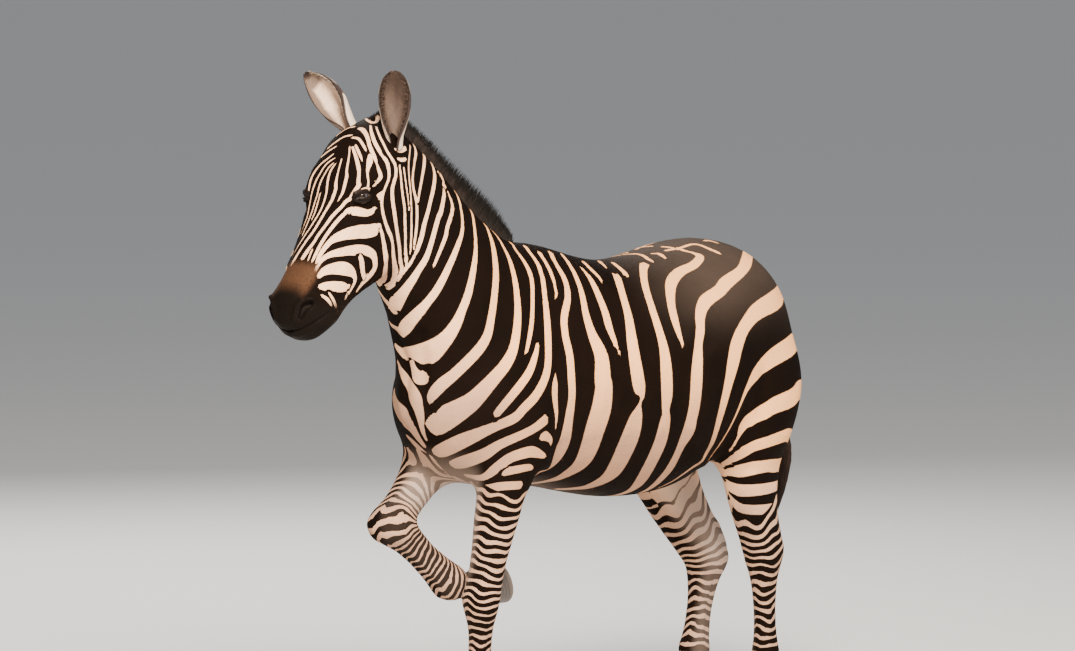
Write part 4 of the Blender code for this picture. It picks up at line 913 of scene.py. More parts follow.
class Skin:
    """The skin from its points and quads, with the ways to find a place on it."""

    def __init__(self, co, quads):
        self.tree = BVHTree.FromPolygons(co.tolist(), quads.tolist())

    def pressed(self, stations, per_span=4, how=""):
        """Stations in centimetres set on the skin, by level looks ahead or along the view's lines of sight."""
        rows = smooth_rows(stations, per_span) * 0.01
        rows[:, 2] = rows[:, 2] * WIDEN + WIDEN_BY
        if how == "view":
            right, up, back = view_axes()
            stand = np.array(VIEW_MIDDLE) + back * VIEW_STAND
            sheet = VIEW_MIDDLE + (rows[:, :1] - MIDDLE_ALONG) * right + (rows[:, 1:2] - VIEW_MIDDLE[2]) * up
            start, ways = stand + 0 * sheet, unit(sheet - stand)
        else:
            ahead = np.array(LEVEL_AHEAD)
            start = rows[:, :1] * LEVEL_RIGHT + rows[:, 1:2] * (0.0, 0.0, 1.0) - LOOK_START * ahead
            ways = ahead + 0 * start
        found = [self.tree.ray_cast(Vector(p), Vector(way))[0] for p, way in zip(start, ways)]
        rows = [(*hit, row[2]) for hit, row in zip(found, rows) if hit is not None]
        return np.array(rows) if rows else np.zeros((0, 4))

    def onto(self, points):
        """Each point moved to the nearest place on the skin."""
        return np.array([self.tree.find_nearest(Vector(p))[0] for p in points]).reshape(-1, 3)

    def seen(self, points):
        """Which places have nothing before them on the three-quarter view."""
        back = Vector(LEVEL_AHEAD) * -1
        clear = [self.tree.ray_cast(Vector(p) + back * 0.012, back)[0] is None for p in points]
        return np.array(clear, bool)

    def carried_on(self, path, step, count, fall, narrow):
        """Carries a path on over the skin: each step goes on as the last ones did, with some fall."""
        rows = list(path)
        way = unit(path[-1, :3] - path[-4, :3])
        for _ in range(count):
            near = self.onto([rows[-1][:3] + (way + np.array(fall)) * step])[0]
            if near[1] * rows[-1][1] < 0 or abs(near[1]) < 0.012:
                break
            way = unit(unit(near - rows[-1][:3]) + way * 0.6)
            rows.append((*near, rows[-1][3] * narrow))
        return np.array(rows)


def runs(path, longest=LONGEST_STEP):
    """Parts a path where it jumps from one form to another behind it."""
    if len(path) < 3:
        return []
    leaps = np.flatnonzero(np.linalg.norm(np.diff(path[:, :3], axis=0), axis=1) > longest) + 1
    return [run for run in np.split(path, leaps) if len(run) > 2]


def marking_paths(skin):
    """All pale ribbons: pressed on the side that the view shows, then mirrored on the other."""
    paths = []
    for name, (how, stations) in RIBBONS.items():
        for run in runs(skin.pressed(stations, how=how)):
            if name[:4] in ("nose", "brow"):
                run[:, 3] *= FACE_NARROW
            if name[:4] == "neck" and run[0, 2] > run[-1, 2]:
                run = skin.carried_on(run[::-1], *CARRY_ON["crest"])[::-1]
            if how in ("rear", "belly"):
                run = skin.carried_on(run, *CARRY_ON[how])
            if how == "rear" and run[0, 2] < 0.80:
                run = skin.carried_on(run[::-1], *CARRY_ON["stifle"])[::-1]
                run[:, 3] *= THIGH_NARROW
            paths.append(run)
    for path in list(paths):
        far = path.copy()
        far[:, 1] *= -1
        far = far[path[:, 1] < 0.004]
        if len(far) < 3:
            continue
        far[:, 2] += SIDES_DIFFER * np.sin(far[:, 0] * 21.0)
        far[:, :3] = skin.onto(far[:, :3])
        far = far[~skin.seen(far[:, :3]) | (far[:, 0] > 0.1)]
        paths += runs(far, 0.06)
    return paths


def near_path(points, path):
    """Distance to a path, the nearest place, its width there, how far the point lies past its ends, and the
    path's direction crossed with the way to the point, which tells one side of the path from the other."""
    a, span = path[:-1, :3], np.diff(path[:, :3], axis=0)
    length = np.maximum((span**2).sum(1), 1e-12)
    share = ((points[:, None] - a) * span).sum(2) / length
    held = np.clip(share, 0, 1)
    place = a + held[..., None] * span
    gap = np.linalg.norm(points[:, None] - place, axis=2)
    j = gap.argmin(1)
    i = np.arange(len(points))
    width = path[j, 3] + (path[j + 1, 3] - path[j, 3]) * held[i, j]
    size = np.sqrt(length)[j]
    past = np.where(j == 0, np.maximum(-share[i, j], 0) * size, 0)
    past = past + np.where(j == len(span) - 1, np.maximum(share[i, j] - 1, 0) * size, 0)
    side = np.cross(span[j] / size[:, None], points - place[i, j])
    return gap[i, j], place[i, j], width, past, side


REACH = 0.075  # how far a ribbon's say goes


def ribbon_waves(points, normals, paths):
    """Phase of the markings as a cosine and a sine, and the share of a wave that is pale.

    The phase is nought in the middle of the nearest ribbon and half a turn midway to the next one on
    that side; the share is the ribbon's width over the distance between the two."""
    n = len(points)
    first, second = np.full(n, REACH), np.full(n, REACH)
    away, width, past, sign = np.zeros((n, 3)), np.full(n, 0.001), np.zeros(n), np.ones(n)
    owner = np.full(n, -1)
    boxes = [(p[:, :3].min(0) - REACH, p[:, :3].max(0) + REACH) for p in paths]
    inside = [np.flatnonzero(((points > low) & (points < high)).all(1)) for low, high in boxes]
    kept = []
    for k, (path, some) in enumerate(zip(paths, inside)):
        if not len(some):
            kept.append(None)
            continue
        gap, place, wide, over, side = near_path(points[some], path)
        kept.append((gap, place))
        better = gap < first[some]
        at = some[better]
        first[at], width[at], past[at], owner[at] = gap[better], wide[better], over[better], k
        away[at] = points[at] - place[better]
        sign[at] = np.where((side[better] * normals[at]).sum(1) > 0, 1.0, -1.0)
    for k, some in enumerate(inside):
        if kept[k] is None:
            continue
        gap, place = kept[k]
        onward = ((place - points[some]) * away[some]).sum(1) > 0.15 * gap * first[some]
        better = (owner[some] != k) & onward & (gap < second[some])
        second[some[better]] = gap[better]
    period = np.minimum(first + second, np.maximum(width * 3.2, 0.030))
    turn = math.pi * np.minimum(2 * first / period, 1.0) * sign
    share = width / period * (1 - past / 0.005)
    return np.cos(turn), np.sin(turn), np.where(owner < 0, -0.2, np.clip(share, -0.2, 0.95))


# ---------------------------------------------------------------- legs' own bands
# length of one wave of the bands down a leg, in metres: at the elbow or stifle, knee or hock, fetlock
BAND_WAVE = {"fore": (0.0250, 0.0190, 0.0170), "hind": (0.0700, 0.0250, 0.0235)}
BAND_START = {"foreleg_left": 0.676, "hindleg_left": 0.572, "hindleg_right": 0.600}  # height
RAISED_BAND_START = 0.095  # down the forearm that is raised
BAND_RISE = 0.0225  # how far a band rises from its lowest place to a quarter of the way round
BAND_LOW_SIDE = (0.574, 0.819)  # forwards and outwards: where round the leg a band is lowest
BAND_SHARE = 0.41  # share of a wave that is pale
LEG_TOP = 0.80  # height above which the bands end


def upper_joints(leg):
    """The names of a leg's two upper joints."""
    return ("elbow", "knee") if "elbow" in leg else ("stifle", "hock")


def leg_place(co, leg):
    """How far down the leg each point lies, its distance from the bones, and its offset from them.

    Each bone's own length down is weighed by the fourth power of its nearness."""
    knots = [joint(leg, name) for name in (*upper_joints(leg), "fetlock", "coronet")]
    knots[3] = knots[3] + (knots[3] - knots[2]) * 0.6
    total, weight, start = np.zeros(len(co)), np.zeros(len(co)), 0.0
    offset, nearest = np.zeros((len(co), 3)), np.full(len(co), 9.0)
    for a, b in zip(knots, knots[1:]):
        span = b - a
        length = np.linalg.norm(span)
        share = (co - a) @ span / length**2
        gap = np.linalg.norm(co - (a + np.clip(share, 0, 1)[:, None] * span), axis=1)
        w = 1 / np.maximum(gap, 0.004) ** 4
        down = start + np.clip(share * length, -0.14, length + 0.10)
        total, weight = total + w * down, weight + w
        side = co - (a + share[:, None] * span)
        front = forward_of(a, b)
        local = np.stack((side @ front, side[:, 1] * leg["side"]), 1)
        offset[:, :2] += w[:, None] * local
        nearest = np.minimum(nearest, gap)
        start += length
    return total / weight, nearest, offset[:, :2] / weight[:, None]


def leg_bands(co):
    """Phase of the bands down the legs, how pale they are, where they hold, and how broken they are."""
    band, share = np.zeros(len(co)), np.full(len(co), 0.42)
    holds, broken, inner = np.zeros(len(co)), np.zeros(len(co)), np.zeros(len(co))
    taken = np.full(len(co), 9.0)
    for name, leg in LEGS.items():
        kind = name[:4]
        down, near, local = leg_place(co, leg)
        size = np.maximum(np.linalg.norm(local, axis=1), 1e-4)
        toward = (local @ BAND_LOW_SIDE) / size
        within = ramp(-local[:, 1] / size, 0.0, 0.7)
        rise = BAND_RISE * (1 - toward) * np.where(local[:, 0] > 0, 1.0, 0.8) * (1 - 0.65 * within)
        first, middle = (joint(leg, which) for which in upper_joints(leg))
        long_one = np.linalg.norm(middle - first)
        long_two = long_one + np.linalg.norm(joint(leg, "fetlock") - middle)
        grid = np.linspace(-0.2, 0.9, 441)  # down the leg; the phase counts the waves up to there
        wave = np.interp(grid, (0, long_one, long_two), BAND_WAVE[kind])
        turns = np.cumsum(1 / wave) * (grid[1] - grid[0])
        at = down + rise
        begin = RAISED_BAND_START
        if name in BAND_START:
            begin = (BAND_START[name] - first[2]) / unit(middle - first)[2]
        phase = np.interp(at, grid, turns) - np.interp(begin, grid, turns)
        # the bands waver, and their widths are uneven, by sines over the place
        x, y, z = co.T * leg["side"]
        phase = phase + 0.24 * np.sin(x * 71 + z * 29 + 1.3) * np.sin(y * 57 - z * 17)
        phase = phase + 0.13 * np.sin(y * 120 + z * 61)
        mine = (near < taken) & (co[:, 1] * leg["side"] > 0) & (co[:, 2] < LEG_TOP)
        low = ramp(down, long_one - 0.01, long_one + 0.06)
        band[mine] = phase[mine] + 0.5
        taken[mine] = near[mine]
        top = begin - 0.30 * ramp(within, 0.25, 0.55) * (kind == "hind")
        holds[mine] = np.clip((at - top)[mine] / 0.02 + 0.5, 0, 1)
        uneven = 0.11 * np.sin(x * 43 - z * 52) * np.sin(y * 66 + z * 40)
        bare = within * (kind == "hind") * ramp(begin + 0.10 - at, 0.0, 0.16)
        share[mine] = (BAND_SHARE - 0.05 * low + 0.10 * within * (1 - low) + uneven + 0.55 * bare)[mine]
        broken[mine] = low[mine]
        # how far a point lies on the inner side of the upper leg, where the bands fade and painted shade darkens
        # the coat
        fade = ramp(down, long_one - 0.10, long_one - 0.02) if kind == "fore" else 0.6 * low
        inside = within if kind == "fore" else ramp(-local[:, 1] / size, 0.25, 0.95)
        inner[mine] = (inside * (1 - 0.9 * fade))[mine]
    holds *= ramp(co[:, 2], LEG_TOP, 0.76) * ramp(-taken, -0.165, -0.145)
    return band, share, holds, broken, inner


# ---------------------------------------------------------------- folds, muscles and bones under the skin
# name: how high it stands (negative: how deep), half width, stations (along, height) as for the ribbons
RELIEF = {
    "shoulder_front": (-0.0040, 0.026, ((2, 121), (-1, 112), (-3, 102), (-8, 92))),
    "shoulder_blade": (0.0035, 0.022, ((7, 118), (5, 108), (3, 98))),
    "shoulder_back": (-0.0045, 0.022, ((14.5, 108), (14, 99), (13.5, 90), (12, 83))),
    "elbow": (0.0060, 0.020, ((10.5, 76), (11, 72.5))),
    "elbow_fold": (-0.0050, 0.014, ((14, 78), (12, 73), (8, 70.5))),
    "girth": (-0.0030, 0.030, ((20, 88), (19, 78), (16, 71))),
    "flank": (-0.0065, 0.030, ((50, 101), (46, 92), (44.5, 82), (46, 73))),
    "flank_fold": (0.0050, 0.016, ((47.5, 80), (48, 74), (51, 69.5))),
    "thigh_groove": (-0.0040, 0.018, ((66, 92), (65, 80), (63.5, 68))),
    "thigh_front": (0.0035, 0.030, ((52, 96), (51, 86), (52, 76))),
    "stifle": (0.0050, 0.024, ((54, 72), (55, 68))),
    "gullet": (-0.0030, 0.014, ((-20.5, 125), (-17, 113), (-17, 105))),
    "breast_mid": (-0.0070, 0.018, ((-19.4, 106), (-19.2, 97), (-18.6, 88))),
    "cheekbone": (0.0028, 0.0060, ((-34.5, 134.5), (-38, 129), (-41.5, 123.5))),
    "below_cheekbone": (-0.0020, 0.0090, ((-33, 131.5), (-36.5, 126.5), (-40, 121.5))),
    "jaw_edge": (0.0022, 0.0085, ((-26.5, 133), (-27, 127), (-30, 121.5), (-34, 117.5))),
    "jaw_hollow": (-0.0030, 0.0150, ((-24, 134), (-23.2, 128), (-24, 123))),
    "nose_side": (-0.0022, 0.0100, ((-38.5, 134), (-42.5, 126), (-44.5, 121))),
    "temple": (-0.0035, 0.0110, ((-29.5, 147.5), (-28.5, 150))),
    "mouth": (-0.0042, 0.0030, ((-40.9, 113.3), (-42.6, 112.1), (-45, 110.6), (-47.8, 109.4), (-50.6, 108.7))),
    "lower_lip": (0.0020, 0.0070, ((-42.4, 110.7), (-45.4, 108.9), (-48.6, 107.7))),
    "nostril_rim": (0.0046, 0.0075, ((-44.5, 116.8), (-46.8, 116.6), (-48.4, 114.6), (-49.0, 112.0))),
}
# ribs that show faintly on the barrel: how many, along of the first, and from one to the next, in centimetres
RIBS, RIB_FIRST, RIB_STEP = 7, 21.0, 4.3
RIB_HEIGHT, RIB_WIDTH = 0.0016, 0.009
NOSTRIL = ((-45.0, 115.6, 0.95), (-46.2, 115.0, 1.15), (-46.9, 113.7, 0.85), (-47.5, 112.2, 0.5))  # width in cm
NOSTRIL_DEPTH = 0.017
TENDON_DEPTH, TENDON_WIDTH = 0.0034, 0.0075


def relief(skin, co, normals):
    """Raises or lowers the skin by a bell over its distance from a line, on both sides of the body."""
    lines = [(height, wide, skin.pressed([(*p, 0) for p in stations], 6)[:, :3])
             for height, wide, stations in RELIEF.values()]
    for k in range(RIBS):
        u = RIB_FIRST + k * RIB_STEP
        rib = skin.pressed([(u - 1.0, 103, 0), (u, 93, 0), (u - 3.0, 80, 0)], 6)
        lines.append((RIB_HEIGHT, RIB_WIDTH, rib[:, :3]))
    lift = np.zeros(len(co))
    for height, wide, line in lines:
        mid = np.abs(line[:, 1]).max() < 0.03
        for flip in (1,) if mid else (1, -1):
            path = line * (1, flip, 1)
            box = ((co > path.min(0) - wide * 3) & (co < path.max(0) + wide * 3)).all(1)
            if len(path) > 1 and box.any():
                gap = near_path(co[box], np.hstack([path, path[:, :1] * 0]))[0]
                lift[box] += height * bump(gap, wide)
    return co + normals * lift[:, None]


def nostrils(skin, co):
    """Opens both nostrils: a comma-shaped pit, deepest along its middle. Gives how deep each point went."""
    path = skin.pressed(NOSTRIL, 6)
    dark = np.zeros(len(co))
    inward = unit(face_point(0.55, 0.0, 0.02) - path[:, :3].mean(0))
    for flip in (1, -1):
        line = path * (1, flip, 1, 1)
        box = ((co > line[:, :3].min(0) - 0.03) & (co < line[:, :3].max(0) + 0.03)).all(1)
        gap, _, width, _, _ = near_path(co[box], line)
        depth = 1 - ramp(gap, width * 0.22, width * 0.80)
        co[box] += inward * (1, flip, 1) * (depth * NOSTRIL_DEPTH)[:, None]
        dark[box] = np.maximum(dark[box], depth)
    return co, dark


def tendons(co, normals):
    """Grooves on both sides of each cannon, between the bone and the tendon behind it."""
    lift = np.zeros(len(co))
    for leg in LEGS.values():
        top, fetlock = joint(leg, "knee" if "elbow" in leg else "hock"), joint(leg, "fetlock")
        span = fetlock - top
        share = (co - top) @ span / (span @ span)
        off = co - (top + share[:, None] * span)
        front = off @ forward_of(top, fetlock)
        near = (np.linalg.norm(off, axis=1) < 0.07) & (share > 0) & (share < 1)
        along = ramp(share, 0.12, 0.30) * ramp(share, 1.0, 0.82)
        lift -= near * along * TENDON_DEPTH * bump(front + 0.006, TENDON_WIDTH)
    return co + normals * lift[:, None]


def whole_skin():
    """The skin with its folds: its points and faces, the ribbons on it, how deep in a nostril and how far on
    the rim of an eye each point lies. The faces are finer on the head and breast, and most round the eyes."""
    co, quads = fused_flesh()
    co = co - normals_of(co, quads) * COAT_DEPTH
    plain = Skin(co, quads)
    paths = marking_paths(plain)
    faces = (quads, [])

    eyes = [eye_axes(side) for side in (LEFT, RIGHT)]

    def level_one(points):
        """The head, the throat and the seen side of the breast."""
        s, h = face_place(points)
        x, y, z = points.T
        head = (s > 0.01) & (z > 1.02) & ((x < -0.47) | (h > -0.10))
        return head | ((x < -0.30) & (z > 1.12)) | ((x < 0.0) & (z > 0.66) & (z < 1.13) & (y < 0.05))

    def level_two(points):
        """The front of the face and the muzzle."""
        s, h = face_place(points)
        front = (s > 0.06) & (s < 0.50) & (h > np.abs(points[:, 1]) * 0.15)
        return (front | (s > 0.485)) & (points[:, 2] > 1.02)

    def level_three(points):
        """Round the eyes."""
        near = np.zeros(len(points), bool)
        for middle, _, _, gaze in eyes:
            near |= (np.linalg.norm(points - middle, axis=1) < 0.034) & ((points - middle) @ gaze > -0.004)
        return near

    for level in (level_one, level_two, level_three):
        before = len(co)
        co, faces = split_faces(co, faces, level(co[faces[0]].mean(1)))
        fresh = np.zeros(len(co))
        fresh[before:] = 1.0
        grown = level(co) * 1.0
        co = eased(co, edges_of(faces), 0.5 * np.maximum(fresh, grown), 3)
    normals = normals_of(co, faces[0])
    co = relief(plain, co, normals)
    co = tendons(co, normals)
    co, dark = nostrils(plain, co)
    rim = np.zeros(len(co))
    for side in (LEFT, RIGHT):
        co, lid = lidded(co, side)
        rim = np.maximum(rim, lid)
    return co, faces, paths, dark, rim


# ---------------------------------------------------------------- finishes
class Socket:
    """An output of a material's nodes. Sums, products and comparisons of it add Math nodes.

    above(low, high) is 0 up to low and 1 from high on; angle is that of a sine and a cosine."""

    def __init__(self, paint, output):
        self.paint, self.output = paint, output

    def maths(self, operation, *values, clamp=False):
        """A Math node with these values or links."""
        node = self.paint.tree.nodes.new("ShaderNodeMath")
        node.operation, node.use_clamp = operation, clamp
        for slot, value in zip(node.inputs, values):
            self.paint.feed(slot, value)
        return Socket(self.paint, node.outputs[0])

    def __add__(self, other): return self.maths("ADD", self, other)
    def __radd__(self, other): return self.maths("ADD", other, self)
    def __sub__(self, other): return self.maths("SUBTRACT", self, other)
    def __rsub__(self, other): return self.maths("SUBTRACT", other, self)
    def __mul__(self, other): return self.maths("MULTIPLY", self, other)
    def __truediv__(self, other): return self.maths("DIVIDE", self, other)
    def __abs__(self): return self.maths("ABSOLUTE", self)

    def clamped(self): return self.maths("ADD", self, 0.0, clamp=True)
    def above(self, low, high): return ((self - low) / (high - low)).clamped()
    def at_least(self, other): return self.maths("MAXIMUM", self, other)
    def fraction(self): return self.maths("FRACT", self)
    def sine(self): return self.maths("SINE", self)
    def angle(self, cosine): return self.maths("ARCTAN2", self, cosine)
    def power(self, other): return self.maths("POWER", self, other)


class Paint:
    """A material under construction, on one Principled shader."""

    def __init__(self, name, roughness, **fixed):
        self.material = bpy.data.materials.new(name)
        self.material.use_nodes = True
        self.tree = self.material.node_tree
        self.shader = self.tree.nodes["Principled BSDF"]
        self.shader.inputs["Roughness"].default_value = roughness
        for key, value in fixed.items():
            self.shader.inputs[key.replace("_", " ")].default_value = value

    def feed(self, slot, value):
        """Links a socket to a slot, or sets the slot to a number, a vector or a colour."""
        if isinstance(value, Socket):
            self.tree.links.new(value.output, slot)
        else:
            slot.default_value = (*value, 1.0) if slot.type == "RGBA" else value

    def node(self, kind, settings=None, output=0, **sockets):
        """Any other node: its type, its settings, then values or links for its sockets."""
        made = self.tree.nodes.new("ShaderNode" + kind)
        for key, value in (settings or {}).items():
            setattr(made, key, value)
        for key, value in sockets.items():
            self.feed(made.inputs[key.replace("_", " ")], value)
        return Socket(self, made.outputs[output])

    def value(self, name):
        """A number stored at the points of the piece."""
        return self.node("Attribute", {"attribute_name": name}, output=2)

    def place(self, stretch=(1, 1, 1), turn=(0, 0, 0)):
        """Object coordinates, stretched and turned."""
        where = self.node("TexCoord", output=3)
        return self.node("Mapping", Vector=where, Scale=stretch, Rotation=turn)

    def noise(self, scale, where=None, detail=3.0, rough=0.55):
        """Noise about nought, from -1 to 1."""
        where = where or self.place()
        made = self.node("TexNoise", Vector=where, Scale=scale, Detail=detail, Roughness=rough)
        return (made - 0.5) * 2.0

    def mix(self, factor, first, second):
        """The first colour where the factor is 0 and the second where it is 1."""
        made = self.tree.nodes.new("ShaderNodeMix")
        made.data_type = "RGBA"
        for k, value in ((0, factor), (6, first), (7, second)):
            self.feed(made.inputs[k], value)
        return Socket(self, made.outputs[2])

    def bumped(self, height, distance):
        """Fine relief: the height times the distance, in metres."""
        self.feed(self.shader.inputs["Normal"], self.node("Bump", Height=height, Distance=distance, Strength=1.0))

    def done(self, colour, roughness=None):
        """The finished material."""
        self.feed(self.shader.inputs["Base Color"], colour)
        if roughness is not None:
            self.feed(self.shader.inputs["Roughness"], roughness)
        return self.material


# the last pale is the pale coat in painted shade, used below and on the breast's front
PALE, PALE_BODY, PALE_IN_SHADE = (0.94, 0.55, 0.32), (0.98, 0.47, 0.19), (0.32, 0.185, 0.125)
# the last dark is a painted sheen: the dark coat greyed as if it reflected the sky
DARK, DARK_WARM, DARK_SHEEN = (0.0040, 0.0025, 0.0018), (0.012, 0.0055, 0.003), (0.060, 0.042, 0.032)
# colours of the legs' inner sides, where the bands fade to grey; both are darkened as painted shade
INNER_PALE_SHADED, INNER_DARK_SHADED = (0.40, 0.32, 0.265), (0.20, 0.145, 0.115)  # inner sides of the legs
KNEE_TAN = (0.40, 0.24, 0.15)
NOSE_BROWN, NOSE_DEEP = (0.085, 0.039, 0.019), (0.045, 0.022, 0.013)
MUZZLE, MUZZLE_GREY, RIM = (0.005, 0.0035, 0.0028), (0.009, 0.006, 0.0045), (0.010, 0.007, 0.006)
TUFT_SHADE = (0.030, 0.020, 0.014)
MANE_FLECK = (0.70, 0.52, 0.40)


def coat_paint(name, tufts):
    """Short coat: the markings from the phase of the ribbons and of the leg bands, with hairy edges.

    A ribbon is pale where its share of the wave is more than its turn from the middle, and a band where its
    share is more than a saw-tooth of the phase; soot is the bare skin of the muzzle, with small pebbles."""
    p = Paint(name, roughness=0.72, Specular_IOR_Level=0.02)
    streak = p.noise(1.0, p.place((90, 330, 260), (0, 0.5, 0)), 4.0, 0.6)
    fine = p.noise(1.0, p.place((420, 900, 700), (0, 0.5, 0)), 2.0)
    cloud = p.noise(9.0)
    turn = abs(p.value("wave_s").angle(p.value("wave_c"))) / math.pi
    ribbon = p.value("pale") - turn + streak * 0.036 + fine * 0.016
    saw = abs((p.value("band") + streak * 0.05 + 0.5).fraction() - 0.5) * 2.0
    blots = p.noise(38.0, None, 2.0)
    bands = p.value("band_pale") - saw + streak * 0.06 + blots * p.value("broken") * 0.28 + cloud * 0.06
    use = p.value("holds").above(0.49, 0.51)
    field = ribbon + (bands - ribbon) * use
    light = field.above(-0.014, 0.026)
    edge = field.above(-0.13, 0.0)
    dark = p.mix(((cloud * 0.5 + 0.4) * 0.6 + edge * 0.35).clamped(), DARK, DARK_WARM)
    # painted sheen: the dark stripes are greyed where the back and rump face up
    dark = p.mix((p.value("painted_sheen") + cloud * 0.2 * p.value("painted_sheen")).clamped(), dark, DARK_SHEEN)
    # legs' inner sides: the dark bands fade to grey, darkened as painted shade
    dark = p.mix(p.value("inner") * 0.85, dark, INNER_DARK_SHADED)
    pale = p.mix(p.value("warm"), PALE, PALE_BODY)
    # painted shade on the pale coat where the skin faces down and on the breast's front; darker also towards the
    # bottom of the barrel and on the lower legs
    pale = p.mix((p.value("under") * 0.85 + streak * 0.12 + cloud * 0.14).clamped(), pale, PALE_IN_SHADE)
    # legs' inner sides: the pale is grey-brown, darkened as painted shade
    pale = p.mix(p.value("inner") * 0.8, pale, INNER_PALE_SHADED)
    pale = p.mix(p.value("tan"), pale, KNEE_TAN)
    colour = p.mix(light, dark, pale)
    brown = (p.value("nose") * (1.05 + streak * 1.1 + cloud * 0.5)).clamped()
    colour = p.mix(brown, colour, p.mix((cloud * 0.5 + 0.5).clamped(), NOSE_BROWN, NOSE_DEEP))
    soot = (p.value("soot") + streak * 0.08 * p.value("soot")).clamped()
    skin_black = p.mix((cloud * 0.6 + 0.3).clamped(), MUZZLE, MUZZLE_GREY)
    colour = p.mix(soot, colour, skin_black)
    colour = p.mix(p.value("rim").at_least(p.value("pit")), colour, RIM)
    shine = 0.70 - soot * 0.20 + streak * 0.05 + light * 0.06
    if tufts:
        colour = p.mix(p.value("strand") * 0.30, colour, TUFT_SHADE)
    else:
        pebbles = p.node("TexVoronoi", {"feature": "SMOOTH_F1"}, Vector=p.place(), Scale=260.0)
        hide = streak * 0.8 + fine * 0.5 + p.noise(46.0, p.place((0.45, 1, 1)), 3.0) * 0.9
        p.bumped(hide + (pebbles * 1.2 - hide) * soot, 0.0011)
    return p.done(colour, shine)


def hair_paint(name, root, tip, shine=0.5):
    """Long hair from its root's colour to its tip's, each strand a little different. Where "banded" is 1 it
    is pale up to about two thirds over the skin's pale ribbons."""
    p = Paint(name, roughness=shine, Specular_IOR_Level=0.15)
    along = p.value("along")
    colour = p.mix((along.above(0.15, 0.75) + p.value("strand") * 0.35 - 0.15).clamped(), root, tip)
    turn = abs(p.value("wave_s").angle(p.value("wave_c"))) / math.pi
    light = (p.value("pale") - turn + 0.02).above(-0.03, 0.05)
    reach = 1.0 - (along + p.value("strand") * 0.22 - 0.11).above(0.52, 0.70)
    colour = p.mix(light * reach * p.value("banded"), colour, MANE_FLECK)
    streak = p.noise(1.0, p.place((300, 700, 200)), 3.0)
    p.bumped(streak, 0.0006)
    return p.done(colour, shine + streak * 0.08)


def dress(made, material):
    """Smooth shading, finish and body of a finished piece."""
    made.data.materials.append(material)
    made.data.polygons.foreach_set("use_smooth", np.ones(len(made.data.polygons), bool))
    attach(made, "root")


def give(made, **values):
    """Stores an attribute at each point of a piece."""
    for name, value in values.items():
        layer = made.data.attributes.new(name, "FLOAT", "POINT")
        layer.data.foreach_set("value", np.asarray(value, np.float32).ravel())


def give_hair(made, strand, along, markings=None):
    """What the long hair's finish reads: a number for each strand, the share along it, and the skin's
    markings at its root, or none."""
    none = 0 * along
    wave_c, wave_s, pale = (none + 1, none, none) if markings is None else markings[:, :3].T
    give(made, strand=strand, along=along, wave_c=wave_c, wave_s=wave_s, pale=pale,
         banded=none + (markings is not None))


# ---------------------------------------------------------------- what the skin knows about itself
MUZZLE_START = 0.520  # along the face: the hair ends and black skin begins
HEAD_LOW = 1.02  # everything of the head is above this height, and the breast below it
DOCK_WAVE = 0.026  # length of one band of the tail
# wave_c, wave_s, pale: a ribbon's phase and pale share; band, band_pale: a leg band's; holds: which of the two
# counts; broken: blotchy bands; inner: the legs' inner sides, faded bands in painted shade; under: painted shade
# below and on the breast, and darker towards the bottom; tan, warm: tones; dusty: painted sheen on the back and
# rump; nose, soot, rim, pit: bare or dark skin
FIELD_NAMES = ("wave_c", "wave_s", "pale", "band", "band_pale", "holds", "broken", "inner", "under", "tan",
               "nose", "soot", "rim", "pit", "warm", "painted_sheen")


def skin_fields(co, normals, paths, dark, rim):
    """Everything the finishes read, one column for each name, worked out from place alone."""
    c, s, pale = ribbon_waves(co, normals, paths)
    band, band_pale, holds, broken, inner = leg_bands(co)
    (along, above), out = face_place(co), np.abs(co[:, 1])
    on_head = ramp(-co[:, 0], 0.50, 0.56) * (co[:, 2] > HEAD_LOW)
    start = MUZZLE_START - 0.055 * ramp(-above, -0.03, 0.05) + 0.018 * ramp(out, 0.02, 0.06)
    soot = on_head * ramp(along, start - 0.038, start + 0.012)
    nose = on_head * ramp(along, 0.424, 0.462) * ramp(above, 0.012, 0.030) * (1 - ramp(out, 0.042, 0.058))
    dock = ramp(co[:, 0], 1.035, 1.05)
    band = np.where(dock > 0.5, co[:, 2] / DOCK_WAVE + 0.2 * co[:, 1] / 0.03, band)
    band_pale = np.where(dock > 0.5, 0.52 - 0.5 * ramp(co[:, 2], 0.90, 0.80), band_pale)
    holds = np.maximum(holds, dock)
    inner = inner * ramp(co[:, 2], 0.80, 0.70) * (1 - dock)
    x, z = co[:, 0], co[:, 2]
    fore = ramp(-x, -0.62, -0.45)
    # painted shade where the skin faces down and on the breast's front; darker also towards the bottom of the
    # barrel and on the lower legs
    under = np.clip(ramp(-normals[:, 2], 0.2, 0.9) * ramp(z, 0.40, 0.60) + 0.15 * broken
                    + 0.80 * np.maximum(ramp(-z, -1.03, -0.80) * fore, ramp(-z, -0.72, -0.48)) * (1 - on_head)
                    + 0.5 * ramp(-x, 0.13, 0.25) * ramp(-z, -1.12, -0.98) * ramp(z, 0.60, 0.70), 0, 1)
    warm = ramp(x, -0.42, -0.12) * ramp(z, 0.55, 0.75)
    # painted sheen on the dark coat of the back and rump, where the skin faces up
    painted_sheen = ramp(x, 0.25, 0.65) * ramp(z, 0.95, 1.12) * ramp(normals[:, 2], -0.1, 0.75) * 0.8
    tan = 0.55 * ramp(co[:, 2], 0.80, 0.72) * ramp(-co[:, 0], 0.12, 0.22) * (co[:, 2] > 0.69)
    return np.stack((c, s, pale, band, band_pale, holds, broken, inner, under, tan,
                     nose, soot, rim, dark, warm, painted_sheen), 1)


# ---------------------------------------------------------------- hair
PATCH = 0.003  # how far across the unwrap one hair spreads
ROOT_DEPTH = 0.0008  # how far under the skin a tuft starts


